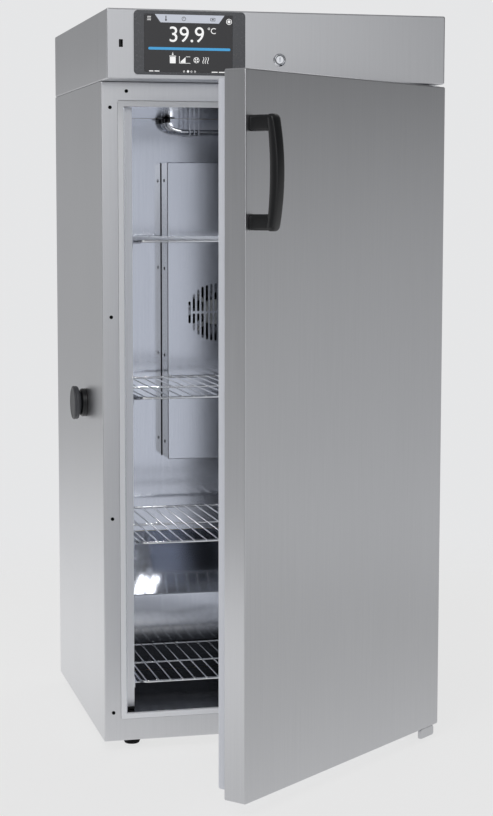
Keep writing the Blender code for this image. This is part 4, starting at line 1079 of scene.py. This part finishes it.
fade = addNode(tree, "MapRange", {
    "From Min": stage["radius"] * stage["soft"], "From Max": stage["radius"] * 0.98,
    "interpolation_type": "SMOOTHSTEP",
}, {"Value": away.outputs["Value"]})
mixed = addNode(tree, "MixShader", None, {0: fade.outputs[0], 1: matt.outputs[0], 2: clear.outputs[0]})
addNode(tree, "OutputMaterial", None, {"Surface": mixed.outputs[0]})
floorMesh.materials.append(floorLook)
floor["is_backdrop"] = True

# the studio round the object: even and pale to the eye; for light and reflections its level depends on the direction,
# given as the level at eye height, the share of it higher up, and the share of it low down
studio = {
    "backdrop": 0.80, "overhead": 0.30,
    "right": (0.46, 0.20, 1.74), "left": (0.26, 0.70, 1.6), "back": (0.42, 0.80, 1.9), "front": (0.58, 2.1, 0.76),
    "softbox": (0.92, 0.9, 1.0), "softboxAt": (-0.93, 0.37),
}
world = bpy.data.worlds.new("studio")
scene.world = world
world.use_nodes = True
tree = world.node_tree
tree.nodes.clear()
direction = addNode(tree, "SeparateXYZ", None, {0: addNode(tree, "TexCoord").outputs["Generated"]}).outputs


def weight(socket, start, end):
    ramp = {"From Min": start, "From Max": end, "To Min": 0.0, "To Max": 1.0, "interpolation_type": "SMOOTHSTEP"}
    return addNode(tree, "MapRange", ramp, {"Value": socket}).outputs[0]


def mixValue(factor, a, b):
    node = addNode(tree, "Mix", {i: v for i, v in ((2, a), (3, b)) if isinstance(v, float)}, {0: factor})
    for i, v in ((2, a), (3, b)):
        if not isinstance(v, float):
            tree.links.new(v, node.inputs[i])
    return node.outputs[0]


def tone(side, band):
    # a direction's level at eye height, or that level times its share higher up or low down
    return float(studio[side][0] * (1.0 if band == 0 else studio[side][band]))


towardBox = addNode(tree, "Math", {"operation": "MULTIPLY", 1: studio["softboxAt"][0]}, {0: direction[0]})
along = {"operation": "MULTIPLY_ADD", 1: studio["softboxAt"][1]}
towardBox = addNode(tree, "Math", along, {0: direction[1], 2: towardBox.outputs[0]})
rightShare = weight(direction[0], -0.7, 0.7)
backShare = weight(direction[1], 0.2, 0.95)
frontShare = weight(direction[1], -0.90, -0.99)
boxShare = weight(towardBox.outputs[0], 0.92, 0.98)
bands = []
for band in (0, 1, 2):
    around = mixValue(rightShare, tone("left", band), tone("right", band))
    for share, side in ((backShare, "back"), (frontShare, "front"), (boxShare, "softbox")):
        around = mixValue(share, around, tone(side, band))
    bands.append(around)
# the low band starts lower on the right
tilted = addNode(tree, "Math", {"operation": "MULTIPLY_ADD", 1: 0.045}, {0: direction[0], 2: direction[2]})
low = mixValue(weight(tilted.outputs[0], -0.11, -0.19), bands[0], bands[2])
high = mixValue(weight(direction[2], 0.0, 0.09), low, bands[1])
levels = mixValue(weight(direction[2], 0.25, 0.75), high, float(studio["overhead"]))
eye = addNode(tree, "LightPath").outputs["Is Camera Ray"]
seen = mixValue(eye, levels, float(studio["backdrop"]))
glow = addNode(tree, "Background", {"Color": (0.985, 0.99, 1.0, 1)}, {"Strength": seen})
addNode(tree, "OutputWorld", None, {"Surface": glow.outputs[0]})

# name, place, width and length, power, aim and spread in degrees
lamps = (
    ("keyLight", (-1.6, -2.6, 3.2), (2.6, 2.6), 32, (0, 0, 0.6), 180),
    ("fillLight", (2.4, 2.6, 3.0), (2.4, 2.4), 14, (0, 0, 0.6), 180),
    ("chamberLight", (-0.07, 0.23, 1.130), (0.05, 0.05), 0.30, (-0.16, 0.41, 0.25), 70),
    ("ceilingGlow", (-0.0622, 0.3938, 1.124), (0.016, 0.016), 0.0020, (-0.0745, 0.4538, 1.122), 180),
    ("stepGlowLeft", (-0.1262, 0.3698, 0.418), (0.019, 0.048), 0.0120, (-0.1632, 0.3008, 0.234), 180),
    ("stepGlowRight", (-0.1012, 0.3698, 0.418), (0.015, 0.048), 0.0080, (-0.1382, 0.3008, 0.234), 180),
)
for lampName, place, size, power, aim, spread in lamps:
    lamp = bpy.data.lights.new(lampName, "AREA")
    lamp.shape, lamp.size, lamp.size_y = "RECTANGLE", *size
    lamp.energy, lamp.spread = power, math.radians(spread)
    lampObject = bpy.data.objects.new(lampName, lamp)
    lampObject.location = place
    lampObject.rotation_euler = (Vector(aim) - Vector(place)).to_track_quat("-Z", "Y").to_euler()
    scene.collection.objects.link(lampObject)

view = {"place": (-0.85938, -3.23206, 0.97429), "yaw": 0.2432, "pitch": 0.10671, "roll": 0.00138, "lens": 84.78}
(cy, sy), (cp, sp), (cr, sr) = ((math.cos(view[key]), math.sin(view[key])) for key in ("yaw", "pitch", "roll"))
ahead = np.array([sy * cp, cy * cp, -sp])
across = np.array([cy, -sy, 0.0])
upward = np.array([sy * sp, cy * sp, cp])
across, upward = across * cr + upward * sr, upward * cr - across * sr
cameraData = bpy.data.cameras.new("camera")
cameraData.lens, cameraData.sensor_width = view["lens"], 36.0
cameraData.dof.use_dof = False
camera = bpy.data.objects.new("camera", cameraData)
scene.collection.objects.link(camera)
columns = np.stack([across, upward, -ahead, toCabinet(np.array(view["place"]))], 1)
camera.matrix_world = Matrix([*columns.tolist(), (0, 0, 0, 1)])
scene.camera = camera
print("stage, light and camera done")

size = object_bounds()
